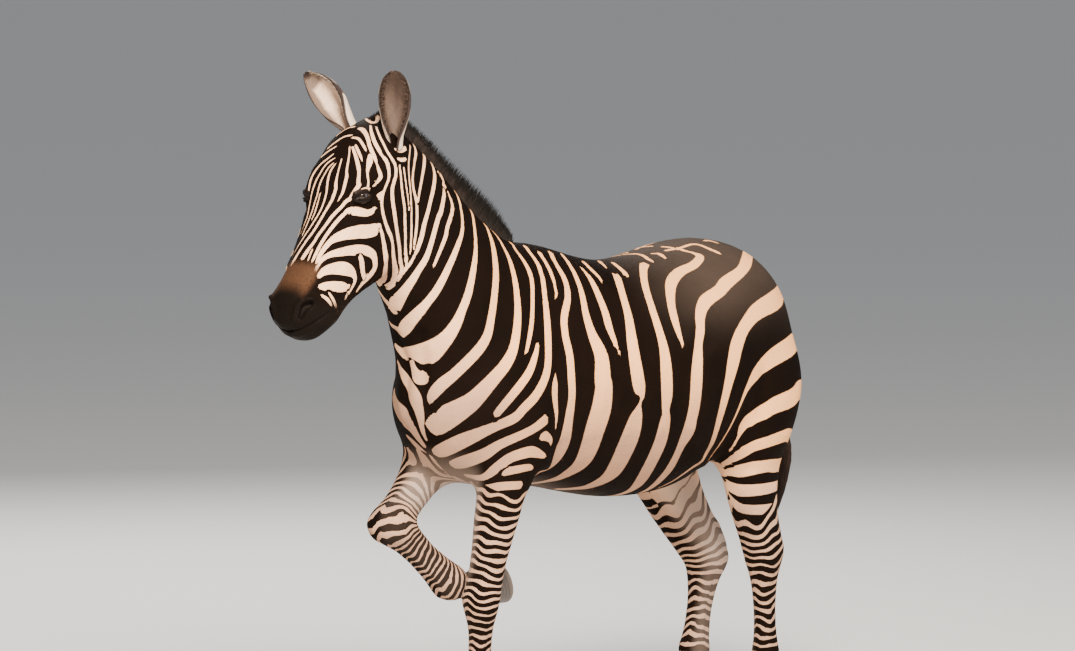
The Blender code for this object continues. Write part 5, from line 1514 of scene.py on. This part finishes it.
def unwrap_place(co):
    """Where a point of the skin lies on its unwrap: station along the body or leg, and angle round it."""
    legs = co[:, 2] < 0.62
    mid = np.interp(co[:, 0], (-0.8, -0.45, -0.2, 0.2, 1.0), (1.15, 1.42, 1.15, 0.92, 0.98))
    turn = (np.arctan2(co[:, 1], co[:, 2] - mid) / (2 * math.pi)) % 1.0
    body = np.stack((0.02 + 0.94 * (co[:, 0] + 0.82) / 2.0, 0.03 + 0.56 * turn), 1)
    number = (co[:, 0] > 0.4) * 2 + (co[:, 1] > 0)
    centre = np.array([(-0.17, -0.06), (-0.16, 0.07), (0.92, -0.09), (0.90, 0.10)])[number]
    round_leg = (np.arctan2(co[:, 1] - centre[:, 1], co[:, 0] - centre[:, 0]) / (2 * math.pi)) % 1.0
    leg = np.stack((0.02 + 0.24 * number + 0.21 * round_leg, 0.62 + 0.35 * co[:, 2] / 0.62), 1)
    return np.where(legs[:, None], leg, body)


def strands(name, root, way, bend, length, width, flat, stations=3):
    """Tapered three-sided hairs: root + way * L t + bend * L t^2, as thick as (1 - t^2), closed at both ends.

    flat is the direction that a hair is widest in. Gives the object, and the hair and share of each point."""
    n = len(root)
    t = np.linspace(0, 1, stations + 1)[None, :, None]
    spine = root[:, None] + (way * length[:, None])[:, None] * t + (bend * length[:, None])[:, None] * t**2
    side = square_to(flat, way)
    lift = np.cross(way, side)
    corner = np.array(((1.0, -0.15), (0.0, 0.45), (-1.0, -0.15)))
    thick = width[:, None, None] * (1 - 0.92 * t[:, :-1] ** 2)
    ring = spine[:, :-1, None] + thick[..., None] * (
        side[:, None, None] * corner[:, :1] + lift[:, None, None] * corner[:, 1:])
    points = np.concatenate([ring.reshape(n, -1, 3), spine[:, -1:]], 1)
    each = 3 * stations + 1
    base = (np.arange(n) * each)[:, None, None]
    quads = np.array([(3 * s + k, 3 * s + (k + 1) % 3, 3 * s + 3 + (k + 1) % 3, 3 * s + 3 + k)
                      for s in range(stations - 1) for k in range(3)])
    last = 3 * stations - 3
    ends = np.array([(last + k, last + (k + 1) % 3, each - 1) for k in range(3)] + [(2, 1, 0)])
    flip = np.sign(np.einsum("ij,ij->i", np.cross(side, lift), way))[0] < 0
    quads, ends = (quads[:, ::-1], ends[:, ::-1]) if flip else (quads, ends)
    loops = np.concatenate([(quads[None] + base).reshape(n, -1), (ends[None] + base).reshape(n, -1)], 1).ravel()
    sizes = np.tile(np.r_[np.full(len(quads), 4), np.full(len(ends), 3)], n)
    mesh = bpy.data.meshes.new(name)
    mesh.vertices.add(n * each)
    mesh.vertices.foreach_set("co", (points.reshape(-1, 3) - (MID_LENGTH, 0, 0)).astype(np.float32).ravel())
    mesh.loops.add(len(loops))
    mesh.loops.foreach_set("vertex_index", loops.astype(np.int32))
    mesh.polygons.add(len(sizes))
    mesh.polygons.foreach_set("loop_start", np.r_[0, np.cumsum(sizes)[:-1]].astype(np.int32))
    mesh.update(calc_edges=True)
    mesh.validate()
    hair = np.repeat(np.arange(n), each)
    share = np.tile(np.r_[np.repeat(t[0, :-1, 0], 3), 1.0], n)
    around = np.tile(np.r_[np.tile((0.0, 0.5, 1.0), stations), 0.5], n)
    corner_uv = unwrap_place(root)[hair] + np.stack((around - 0.5, share - 0.5), 1) * PATCH
    layer = mesh.uv_layers.new(name="OFBake")
    layer.uv.foreach_set("vector", corner_uv[loops].astype(np.float32).ravel())
    return linked(name, mesh), hair, share


def scattered(rng, co, quads, weight, count):
    """Places on the skin by area and weight: the quad of each, and the place's shares of its corners."""
    a, b, c, d = (co[quads[:, k]] for k in range(4))
    area = np.linalg.norm(np.cross(c - a, d - b), axis=1) * weight
    pick = rng.choice(len(quads), count, p=area / area.sum())
    u, v = rng.random((2, count))
    shares = np.stack(((1 - u) * (1 - v), u * (1 - v), u * v, (1 - u) * v), 1)
    return quads[pick], shares


def lie_of_coat(co, normals):
    """The way hair lies: back and down on the body, down the legs, down and outwards on the face."""
    head = ramp(-co[:, 0], 0.44, 0.54) * (co[:, 2] > HEAD_LOW)
    legs = ramp(-co[:, 2], -0.80, -0.66)
    body = np.array((0.80, 0.0, -0.48)) + 0 * co
    face = FACE_DOWN * 0.75 + np.stack((0 * co[:, 0], np.sign(co[:, 1]) * 0.35, 0 * co[:, 0]), 1)
    cheek = ramp(-face_place(co)[1], -0.01, 0.06)[:, None]
    face = face * (1 - cheek) + np.array((0.35, 0.0, -0.75)) * cheek
    way = body * (1 - legs[:, None]) + np.array((0.10, 0.0, -1.0)) * legs[:, None]
    way = way * (1 - head[:, None]) + face * head[:, None]
    return square_to(way, normals)


def coat_tufts(rng, ground, name, weight, material, count, length, width, stand, slot):
    """Tufts that break the form, rooted just under the skin and lying along it.

    The ground is the skin's points, quads, normals and fields; weight says how thick they grow at each point,
    length is a function of place and normal, and stand is how far they rise from the skin."""
    co, quads, normals, fields = ground
    corners, shares = scattered(rng, co, quads, weight[quads].mean(1), count)
    root = (co[corners] * shares[..., None]).sum(1)
    normal = unit((normals[corners] * shares[..., None]).sum(1))
    field = (fields[corners] * shares[..., None]).sum(1)
    way = lie_of_coat(root, normal) + rng.normal(0, 0.16, root.shape)
    up = stand * rng.uniform(0.6, 1.5, (count, 1))
    way = unit(square_to(way, normal) + normal * up)
    size = length(root, normal) * rng.uniform(0.7, 1.25, count)
    girth = width * rng.uniform(0.7, 1.3, count)
    side = np.cross(way, normal)
    made, hair, share = strands(name, root - normal * ROOT_DEPTH, way, -normal * up * 0.55, size, girth, side, 2)
    give(made, strand=rng.random(count)[hair], along=share,
         **{key: field[hair, k] for k, key in enumerate(FIELD_NAMES)})
    dress(made, material)


# ---------------------------------------------------------------- ears
EAR_STEPS = 24  # steps across each wall of an ear
EAR_BACK, EAR_BAND, EAR_EDGE = (0.62, 0.47, 0.35), (0.045, 0.026, 0.018), (0.022, 0.012, 0.009)
EAR_HOLLOW, EAR_BROWN = (0.055, 0.032, 0.024), (0.060, 0.036, 0.026)
EAR_BLOTCH, EAR_BLOTCH_DEEP = (0.080, 0.048, 0.034), (0.035, 0.021, 0.015)


def ear(name, side, material):
    """A cupped leaf: the outer wall, then the inner one, as one closed loop of points at each station.

    A wall's point is centre - opening * r cos a + across * r sin a, with a from -wrap to wrap, and the
    rim rolls between the walls, which ripple a little."""
    axis = unit(EAR_AXIS[side])
    opening = np.array(EAR_OPENING[side])
    opening = unit(opening - axis * (opening @ axis))
    across = np.cross(axis, opening)
    rows = smooth_rows(EAR, 6)
    lane = np.linspace(-1, 1, EAR_STEPS + 1)
    share, radius, wrap, bow = (rows[:, k][:, None] for k in range(4))
    centre = face_point(*EAR_PLACE[side]) + axis * (EAR_LENGTH * share) - opening * bow
    thin = np.maximum(radius - EAR_WALL * (0.55 + 0.45 * ramp(share, 0.9, 0.2)), radius * 0.35)
    angle = np.radians(wrap) * lane
    wave = 0.0012 * np.sin(angle * 3.0 + share * 7.0) * ramp(share, 0.0, 0.3)
    curl = 1 - 0.10 * np.abs(lane) ** 6  # the rim turns in a little

    def wall(reach, angle):
        """One wall's points, a row for each station."""
        r = (reach + wave) * curl
        return centre[:, None] - opening * (r * np.cos(angle))[..., None] + across * (r * np.sin(angle))[..., None]

    points = np.concatenate([wall(radius, angle), wall(thin, -angle)], 1)
    made = closed_piece(name, (points, grid_faces(len(rows), 2 * len(lane))))
    inside = np.tile(np.repeat((0.0, 1.0), len(lane)), (len(rows), 1))
    give(made, inside=inside, edge=np.abs(np.r_[lane, lane]) + 0 * inside, lane=np.r_[lane, -lane] + 0 * inside,
         rise=share + 0 * inside)
    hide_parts(name)
    dress(made, material)
    return centre, opening, across, axis, rows


def ear_paint(name, cream, tan, sided):
    """Outside: pale at the foot, dark band and tip. Inside: skin with pale hair from both edges; where sided
    is 1 the ear is brown along one edge, at the foot in blotches and at the tip, and pale elsewhere."""
    p = Paint(name, roughness=0.68, Specular_IOR_Level=0.3)
    inside, edge, rise, lane = (p.value(key) for key in ("inside", "edge", "rise", "lane"))
    streak = p.noise(1.0, p.place((260, 260, 60)), 4.0, 0.65)
    cloud = p.noise(28.0)
    height = rise + cloud * 0.05 + streak * 0.02
    across = cloud * 0.12 + lane
    tip = height.above(0.80, 0.86)
    band = tip.at_least(height.above(0.40, 0.45) * (1.0 - height.above(0.60, 0.65)))
    outer = p.mix(band, EAR_BACK, EAR_BAND)
    outer = p.mix((1.0 - across.above(-0.50, -0.30)) * 0.85 * sided, outer, EAR_BROWN)
    hollow = (1.0 - (abs(lane - 0.06) + streak * 0.05).above(0.02, 0.20)) * height.above(0.15, 0.35)
    inner = p.mix((streak * 0.5 + cloud * 0.4 + 0.45).clamped(), tan, cream)
    inner = p.mix(hollow * (1.0 - height.above(0.60, 0.80)) * (0.75 - 0.65 * sided), inner, EAR_HOLLOW)
    inner = p.mix((edge + streak * 0.06).above(0.70, 0.86) * (0.65 - 0.35 * sided), inner, cream)
    patch = (cloud * 1.6 + 0.2).clamped() * (1.0 - height.above(0.36, 0.46)) * (1.0 - across.above(-0.2, 0.1))
    brown = (1.0 - across.above(-0.60, -0.42)).at_least(tip).at_least(patch)
    blotch = p.mix((cloud * 0.8 + 0.4).clamped(), EAR_BLOTCH, EAR_BLOTCH_DEEP)
    inner = p.mix(brown * 0.85 * sided, inner, blotch)
    rim = (edge + lane * 0.035 + streak * 0.02).above(0.89, 0.96).at_least(height.above(0.94, 0.98))
    colour = p.mix(rim, p.mix(inside.above(0.4, 0.6), outer, inner), EAR_EDGE)
    p.bumped(streak, 0.0011)
    return p.done(colour, 0.68 + streak * 0.06)


def read_off(rows, at):
    """The rows of a table at any numbers between them."""
    return np.stack([np.interp(at, np.arange(len(rows)), column) for column in rows.T], -1)


def ear_hair(rng, name, parts, sides, material):
    """Hair from the cup's edges, or from one of them, across its hollow, shorter towards the tip."""
    centre, opening, across, axis, rows = parts
    count = 900
    row = rng.uniform(6, len(rows) - 9, count)
    at = read_off(centre, row)
    radius, wrap = read_off(rows[:, 1:3], row).T
    lane = rng.choice(sides, count) * rng.uniform(0.55, 0.97, count)
    angle = np.radians(wrap) * lane
    reach = radius * 0.86
    root = at - opening * (reach * np.cos(angle))[:, None] + across * (reach * np.sin(angle))[:, None]
    inward = unit(at - root)
    way = unit(axis * 0.75 + inward * 0.55 + opening * 0.25 + rng.normal(0, 0.16, (count, 3)))
    size = rng.uniform(0.005, 0.011, count) * len(sides) * (1 - 0.5 * row / len(rows))
    made, hair, share = strands(name, root, way, inward * 0.25, size, np.full(count, 0.0007), axis + 0 * root)
    give_hair(made, rng.random(count)[hair], share * 0.4)
    dress(made, material)


# ---------------------------------------------------------------- eyes
def eyeball(name, side, material):
    """A ball with a cornea, a little further out in a bell over the angle from the gaze."""
    centre, slit, up, gaze = eye_axes(side)
    theta = np.radians(np.linspace(0.5, 179.5, 48))[:, None]
    c, s = circle(64)
    r = EYE_RADIUS * (0.985 + 0.030 * bump(theta, 0.62))
    x, y, z = r * np.sin(theta) * c, r * np.sin(theta) * s, r * np.cos(theta) + 0 * c
    points = centre + x[..., None] * slit + y[..., None] * up + z[..., None] * gaze
    made = closed_piece(name, (points, grid_faces(48, 64)))
    give(made, eye_x=x / EYE_RADIUS, eye_y=y / EYE_RADIUS)
    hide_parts(name)
    dress(made, material)


def eye_paint():
    """A brown iris with rays, a long level pupil, a dark edge and a brownish white."""
    p = Paint("eye_surface", roughness=0.10, Coat_Weight=0.35, Coat_Roughness=0.03, Specular_IOR_Level=0.35)
    x, y = p.value("eye_x"), p.value("eye_y")
    far = (x * x + y * y).power(0.5)
    rays = p.noise(1.0, p.place((260, 260, 260)), 4.0)
    pupil = 1.0 - ((x * x / 0.115 + y * y / 0.022).power(0.5) + rays * 0.04).above(0.90, 1.05)
    # the iris is dark brown, and darkened further as painted shade under the brow
    iris = p.mix((far * 1.2 + rays * 0.30).clamped(), (0.024, 0.012, 0.007), (0.012, 0.007, 0.005))
    colour = p.mix((far + rays * 0.02).above(0.66, 0.76), iris, (0.014, 0.009, 0.007))
    colour = p.mix(far.above(0.84, 0.95), colour, (0.040, 0.024, 0.018))
    return p.done(p.mix(pupil, colour, (0.003, 0.003, 0.004)))


def lashes(rng, name, side, material):
    """Lashes along the upper lid, fanned along the slit and drooping; those of the right eye are shorter."""
    centre, slit, up, gaze = eye_axes(side)
    count = 130
    x = np.linspace(-0.86, 0.90, count) * 0.0190
    y = UPPER_ARCH * np.clip(1 - (x / 0.0194) ** 2, 0, None) ** 0.62 + 0.0016
    z = np.sqrt(np.maximum(EYE_RADIUS**2 - x**2 - y**2, 1e-8)) + 0.0020
    root = centre + x[:, None] * slit + y[:, None] * up + z[:, None] * gaze
    way = unit(gaze * 0.60 - up * 0.42 + (x[:, None] / 0.019) * slit * 0.5 + rng.normal(0, 0.07, (count, 3)))
    size = rng.uniform(0.005, 0.009, count) * (0.6 if side == RIGHT else 1.0)
    made, hair, share = strands(name, root, way, -up * 0.25 + 0 * root, size, np.full(count, 0.00045),
                                slit + 0 * root)
    give_hair(made, rng.random(count)[hair], share * 0 + 1)
    dress(made, material)


# ---------------------------------------------------------------- hoofs
def hoof(leg_name, leg, material):
    """The wall runs straight from the sole to the top of the hoof, where it rounds in under the hair.

    A point is on the line from its place on the sole's outline to the tilted top, with fine growth rings."""
    coronet, sole = joint(leg, "coronet"), unit(leg["sole"])
    front = np.cross(ACROSS, sole)
    height = leg["coronet"][2] if sole[2] < -0.99 else RAISED_HOOF
    tilt = math.radians(CORONET_TILT)
    facing = sole * math.cos(tilt) - front * math.sin(tilt)
    rows = smooth_rows(HOOF, 2)
    around = 56
    c, s = circle(around)
    power = 2 / 2.2

    def outline(share):
        """The hoof's outline at a share of its height, in the plane of the sole."""
        shift, ahead, back, wide = (np.interp(share, rows[:, 0], rows[:, k]) for k in range(1, 5))
        flat = front * (shift + signed_power(c, power) * np.where(c >= 0, ahead, back))[:, None]
        return flat + ACROSS * (signed_power(s, power) * wide)[:, None]

    share = np.r_[-0.0001, 0.0, 0.012, np.linspace(0.04, 0.90, 24), 0.93, 0.96, 0.985, 1.0]
    low = coronet + sole * height
    rings = []
    for t in share:
        flat = low + outline(0.78 * max(t, 0))
        rise = ((coronet - flat) @ facing) / (sole @ facing)
        point = flat + sole * (rise * t)[:, None]
        middle = low + sole * (((coronet - low) @ facing) / (sole @ facing) * t)
        inward = 0.94 if t <= 0 else 1 - 0.012 * (t < 0.02) - 0.17 * ramp(t, 0.86, 1.0)
        inward = inward + 0.004 * math.sin(t * 60.0) * (0 < t < 0.9)
        rings.append(middle + (point - middle) * inward)
    made = closed_piece("hoof_" + leg_name, (np.array(rings), grid_faces(len(rings), around)))
    give(made, rise=np.repeat(share, around))
    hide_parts("hoof_" + leg_name)
    dress(made, material)


def hoof_paint():
    """Horn: growth rings across, fine lines down the wall, dust and wear near the sole."""
    p = Paint("horn", roughness=0.45, Specular_IOR_Level=0.4)
    rise = p.value("rise")
    rings = (rise * 46.0 + p.noise(14.0) * 1.6).sine()
    lines = p.noise(1.0, p.place((520, 520, 30)), 3.0)
    colour = p.mix((lines * 0.5 + rings * 0.2 + 0.4).clamped(), (0.036, 0.028, 0.024), (0.100, 0.075, 0.058))
    wear = ((1.0 - rise) + lines * 0.08).above(0.80, 1.0)
    colour = p.mix(wear * 0.6, colour, (0.23, 0.17, 0.13))
    p.bumped(rings * 0.5 + lines * 0.6, 0.0008)
    return p.done(colour, 0.42 + lines * 0.10 + wear * 0.2)


# ---------------------------------------------------------------- mane and tail
MANE_COUNT, MANE_DEPTH = 6200, 0.022  # number of hairs, and how far under the crest they start
TAIL_COUNT, TAIL_STATIONS = 1500, 9
DOCK_END = (1.1222, 0.002, 0.860, 0.013)  # where the tail's hair starts: aft, out, height, radius


def mane(rng, skin_at, material):
    """An upright brush of hairs along the crest, round a narrow core that keeps the light out."""
    rows = smooth_rows(MANE, 8)
    crest, up = in_middle(rows[:, 0], rows[:, 1]), unit(in_middle(rows[:, 2], rows[:, 3]))
    surface = tube(crest, up, rows[:, 4] * 0.72, 0.026, rows[:, 5] * 0.55, (1.7, 2.0), 24, (0.3, 0.3))
    points, faces = joined([surface])
    core = make_mesh("mane_core", points, faces)
    stood = np.clip((points[:, 2] - np.interp(points[:, 0], crest[:, 0], crest[:, 2])) / 0.04, 0, 1)
    give_hair(core, 0 * stood + 0.5, stood, skin_at(points))
    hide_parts("mane")
    dress(core, material)

    row = rng.uniform(0, len(rows) - 1.001, MANE_COUNT)
    aft, height, back, rise, length, wide = read_off(rows, row).T
    lean = unit(in_middle(back, rise))
    out = rng.uniform(-1, 1, MANE_COUNT)
    root = np.stack((aft, out * wide * 0.55, height), 1) - lean * MANE_DEPTH
    stray = rng.normal(0.02, 0.09, MANE_COUNT), out * 0.05 + rng.normal(0, 0.05, MANE_COUNT), 0 * row
    size = (0.024 + length * (1.20 - 0.25 * np.abs(out) ** 2)) * rng.uniform(0.74, 1.06, MANE_COUNT)
    made, hair, share = strands("mane_hair", root, unit(lean + np.stack(stray, 1)), (0.06, 0, 0) + 0 * root, size,
                                rng.uniform(0.0010, 0.0019, MANE_COUNT), (1.0, 0.2, 0.0) + 0 * root, 4)
    give_hair(made, rng.random(MANE_COUNT)[hair], share, skin_at(root + lean * MANE_DEPTH)[hair])
    dress(made, material)


def tail(rng, material):
    """The tail's long hairs: each follows the tuft's middle line at its own place in the section, from the
    dock or further down to its own end, as a three-sided tube that narrows."""
    rows = smooth_rows((DOCK_END, *TUFT), 6)
    count, stations = TAIL_COUNT, TAIL_STATIONS
    angle, spread_out = rng.uniform(0, 2 * math.pi, count), np.sqrt(rng.random(count))
    begin, stop = 0.30 * rng.random(count) ** 1.6, rng.uniform(0.72, 1.0, count)
    t = begin[:, None] + (stop - begin)[:, None] * np.linspace(0, 1, stations)
    line = read_off(rows, t * (len(rows) - 1))
    wander = 0.004 * np.sin(t * 9 + angle[:, None] * 3) * t
    off = spread_out[:, None] * np.clip(line[..., 3], 0.013 * (t < 0.3), 0.014 + 0.11 * (t - begin[:, None]))
    off = off + wander
    spine = line[..., :3] + np.stack((np.cos(angle)[:, None] * off, np.sin(angle)[:, None] * off, 0 * off), -1)
    thick = rng.uniform(0.0009, 0.0016, count)[:, None] * (1 - 0.85 * np.linspace(0, 1, stations) ** 2)
    turn = np.radians((0, 120, 240))
    ring = spine[:, :, None] + thick[:, :, None, None] * np.stack((np.cos(turn), np.sin(turn), 0 * turn), -1)
    each = stations * 3
    first = (np.arange(count) * each)[:, None]
    grid = np.array(grid_faces(stations, 3, caps=False))[:, ::-1]
    faces = (grid[None] + first[:, None]).reshape(-1, 4).tolist()
    faces += (first + (0, 1, 2)).tolist() + (first + (each - 1, each - 2, each - 3)).tolist()
    made = make_mesh("tail_hair", ring, faces)
    share = np.repeat(t.ravel(), 3)
    give_hair(made, np.repeat(rng.random(count), each), share)
    loops = np.empty(len(made.data.loops), np.int32)
    made.data.loops.foreach_get("vertex_index", loops)
    place = np.stack((0.97 + 0 * share, 0.62 + 0.3 * share), 1)
    place = place + rng.uniform(-PATCH / 2, PATCH / 2, (len(share), 2))
    layer = made.data.uv_layers.new(name="OFBake")
    layer.uv.foreach_set("vector", place[loops].astype(np.float32).ravel())
    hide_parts("tail_tuft")
    dress(made, material)


# ---------------------------------------------------------------- the piece by piece making
rng = np.random.default_rng(11)
co, faces, paths, pit, rim = whole_skin()
normals = normals_of(co, faces[0])
fields = skin_fields(co, normals, paths, pit, rim)
skin = make_mesh("skin", co, faces[0].tolist() + faces[1])
give(skin, **{key: fields[:, k] for k, key in enumerate(FIELD_NAMES)})
flesh = ["trunk", "neck", "head", "tail"]
flesh += [f"{name}_{part}" for name in LEGS for part in ("upper", "lower")]
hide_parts(*flesh)
dress(skin, coat_paint("coat_on_skin", False))

finder = KDTree(len(co))
for index, place in enumerate(co.tolist()):
    finder.insert(place, index)
finder.balance()


def skin_at(points):
    """The skin's fields at the point of the skin nearest to each place."""
    return fields[[finder.find(place)[1] for place in points.tolist()]]


def tuft_weights():
    """How thick tufts grow at each point: on the trunk, on the legs, on the head and round the coronets.

    They are thickest where the outline shows them, under the belly and throat, behind the legs and on the
    top line, and none grow on bare skin."""
    x, _, z = co.T
    nx, _, nz = normals.T
    on_head = ramp(face_place(co)[0], -0.01, 0.03) * (z > HEAD_LOW) * ramp(-x, 0.42, 0.48)
    belly = ramp(-nz, 0.1, 0.7) * ramp(z, 0.58, 0.64) * ramp(-z, -1.05, -0.90)
    throat = ramp(-nz - nx * 0.3, 0.2, 0.8) * ramp(z, 0.9, 1.0)
    topline = ramp(nz, 0.55, 0.95) * ramp(z, 1.05, 1.15)
    behind_leg = ramp(nx, 0.3, 0.9) * ramp(-z, -0.75, -0.60)
    body = (1 - on_head) * (0.55 + 1.2 * belly + 1.2 * throat + 0.8 * topline + 1.5 * behind_leg)
    body *= ramp(z, 0.075, 0.10)
    soot, black, deep = (fields[:, FIELD_NAMES.index(key)] for key in ("soot", "rim", "pit"))
    head = on_head * (1 - np.clip(soot + black + deep, 0, 1))
    coronets = ramp(-np.abs(z - 0.085), -0.012, -0.004)
    raised = np.linalg.norm(co - joint(LEGS["foreleg_right"], "coronet"), axis=1)
    coronets = np.maximum(coronets, ramp(-raised, -0.055, -0.040))
    return body * ramp(z, 0.56, 0.60), body * ramp(-z, -0.60, -0.56), head, coronets


# name, number, length at a place and normal, width, how far they stand up, slot
TUFTS = (
    ("coat_trunk", 15000, lambda p, n: 0.0085 + 0.007 * ramp(-n[:, 2], 0.3, 0.9), 0.0007, 0.06, "body_coat"),
    ("coat_legs", 9000, lambda p, n: 0.0065 + 0.010 * ramp(n[:, 0], 0.3, 0.9) * bump(p[:, 2] - 0.17, 0.05),
     0.0006, 0.10, "body_coat"),
    ("coat_head", 12000, lambda p, n: 0.0065 + 0.004 * ramp(-face_place(p)[1], 0.05, 0.15),
     0.0005, 0.12, "head_coat"),
    ("coronet_hair", 2600, lambda p, n: 0.013 + 0 * p[:, 0], 0.0007, 0.22, "body_coat"),
)
tuft_coat = coat_paint("coat_in_tufts", True)
for (name, *rest), weight in zip(TUFTS, tuft_weights()):
    coat_tufts(rng, (co, faces[0], normals, fields), name, weight, tuft_coat, *rest)

mane_coat = hair_paint("mane_hair", (0.016, 0.010, 0.007), (0.010, 0.007, 0.005), 0.62)
mane(rng, skin_at, mane_coat)
tail(rng, hair_paint("tail_hair", (0.060, 0.034, 0.022), (0.018, 0.012, 0.010), 0.5))
horn = hoof_paint()
for name, leg in LEGS.items():
    hoof(name, leg, horn)
ball_paint = eye_paint()
for side, word in ((LEFT, "left"), (RIGHT, "right")):
    eyeball("eye_" + word, side, ball_paint)
    lashes(rng, "lashes_" + word, side, mane_coat)
# the left ear's inside is painted in shade: its skin and pale hair are grey-brown where the right ear's are cream
ear_left = ear("ear_left", LEFT, ear_paint("ear_left_coat_inside_in_shade", (0.14, 0.092, 0.068), (0.060, 0.036, 0.026), 0.0))
ear_right = ear("ear_right", RIGHT, ear_paint("ear_right_coat", (0.80, 0.58, 0.42), (0.50, 0.34, 0.24), 1.0))
# the left ear's hair is painted in shade, grey-brown where the right ear's is cream
shaded_ear_hair = hair_paint("ear_hair_in_shade", (0.060, 0.038, 0.028), (0.12, 0.08, 0.058))
cream = hair_paint("ear_hair_cream", (0.62, 0.47, 0.36), (0.74, 0.58, 0.45))
ear_hair(rng, "ear_hair_left", ear_left, (-1, 1), shaded_ear_hair)
ear_hair(rng, "ear_hair_right", ear_right, (1,), cream)

# ---------------------------------------------------------------- floor, light and camera
FLOOR = 400.0  # half of the floor's side
floor = make_mesh("floor", [(x * FLOOR, y * FLOOR, 0) for x, y in ((-1, -1), (1, -1), (1, 1), (-1, 1))],
                  [[0, 1, 2, 3]])
paper = Paint("paper", roughness=0.9)
grain = (paper.noise(60.0) * 0.5 + 0.5).clamped()
floor.data.materials.append(paper.done(paper.mix(grain, (0.70, 0.68, 0.65), (0.74, 0.72, 0.70))))
floor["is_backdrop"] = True

world = bpy.data.worlds.new("studio")
world.use_nodes = True
world.node_tree.nodes["Background"].inputs[0].default_value = (0.80, 0.84, 0.90, 1.0)
world.node_tree.nodes["Background"].inputs[1].default_value = 0.44
bpy.context.scene.world = world


def placed(name, data, place, way):
    """A lamp or a camera at a place, facing a way."""
    made = linked(name, data)
    made.location = place
    made.rotation_euler = Vector(way).to_track_quat("-Z", "Y").to_euler()
    return made


# name, place, what it is turned to, size, power, colour
LAMPS = (
    ("key", (-4.6, -4.4, 5.2), (0.0, 0.0, 0.9), 2.0, 2150, (1.0, 0.91, 0.80)),
    ("fill", (2.5, -6.0, 2.6), (0.1, 0.0, 0.8), 4.0, 160, (0.95, 0.97, 1.0)),
    ("back", (3.5, 5.0, 4.5), (0.0, 0.0, 0.9), 3.0, 420, (1.0, 0.97, 0.92)),
)
for name, place, target, size, power, colour in LAMPS:
    light = bpy.data.lights.new(name, "AREA")
    light.size, light.energy, light.color = size, power, colour
    placed(name, light, place, Vector(target) - Vector(place))

back = view_axes()[2]
lens = bpy.data.cameras.new("camera")
lens.sensor_width, lens.lens = 36.0, VIEW_LENS
stand = np.array(VIEW_MIDDLE) - (MID_LENGTH, 0, 0) + back * VIEW_STAND
bpy.context.scene.camera = placed("camera", lens, stand, -back)


def plain(box):
    """A box as lists of numbers."""
    return [[float(v) for v in corner] for corner in box]


{"cad": plain(CAD_BOX), "visual": plain(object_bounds())}
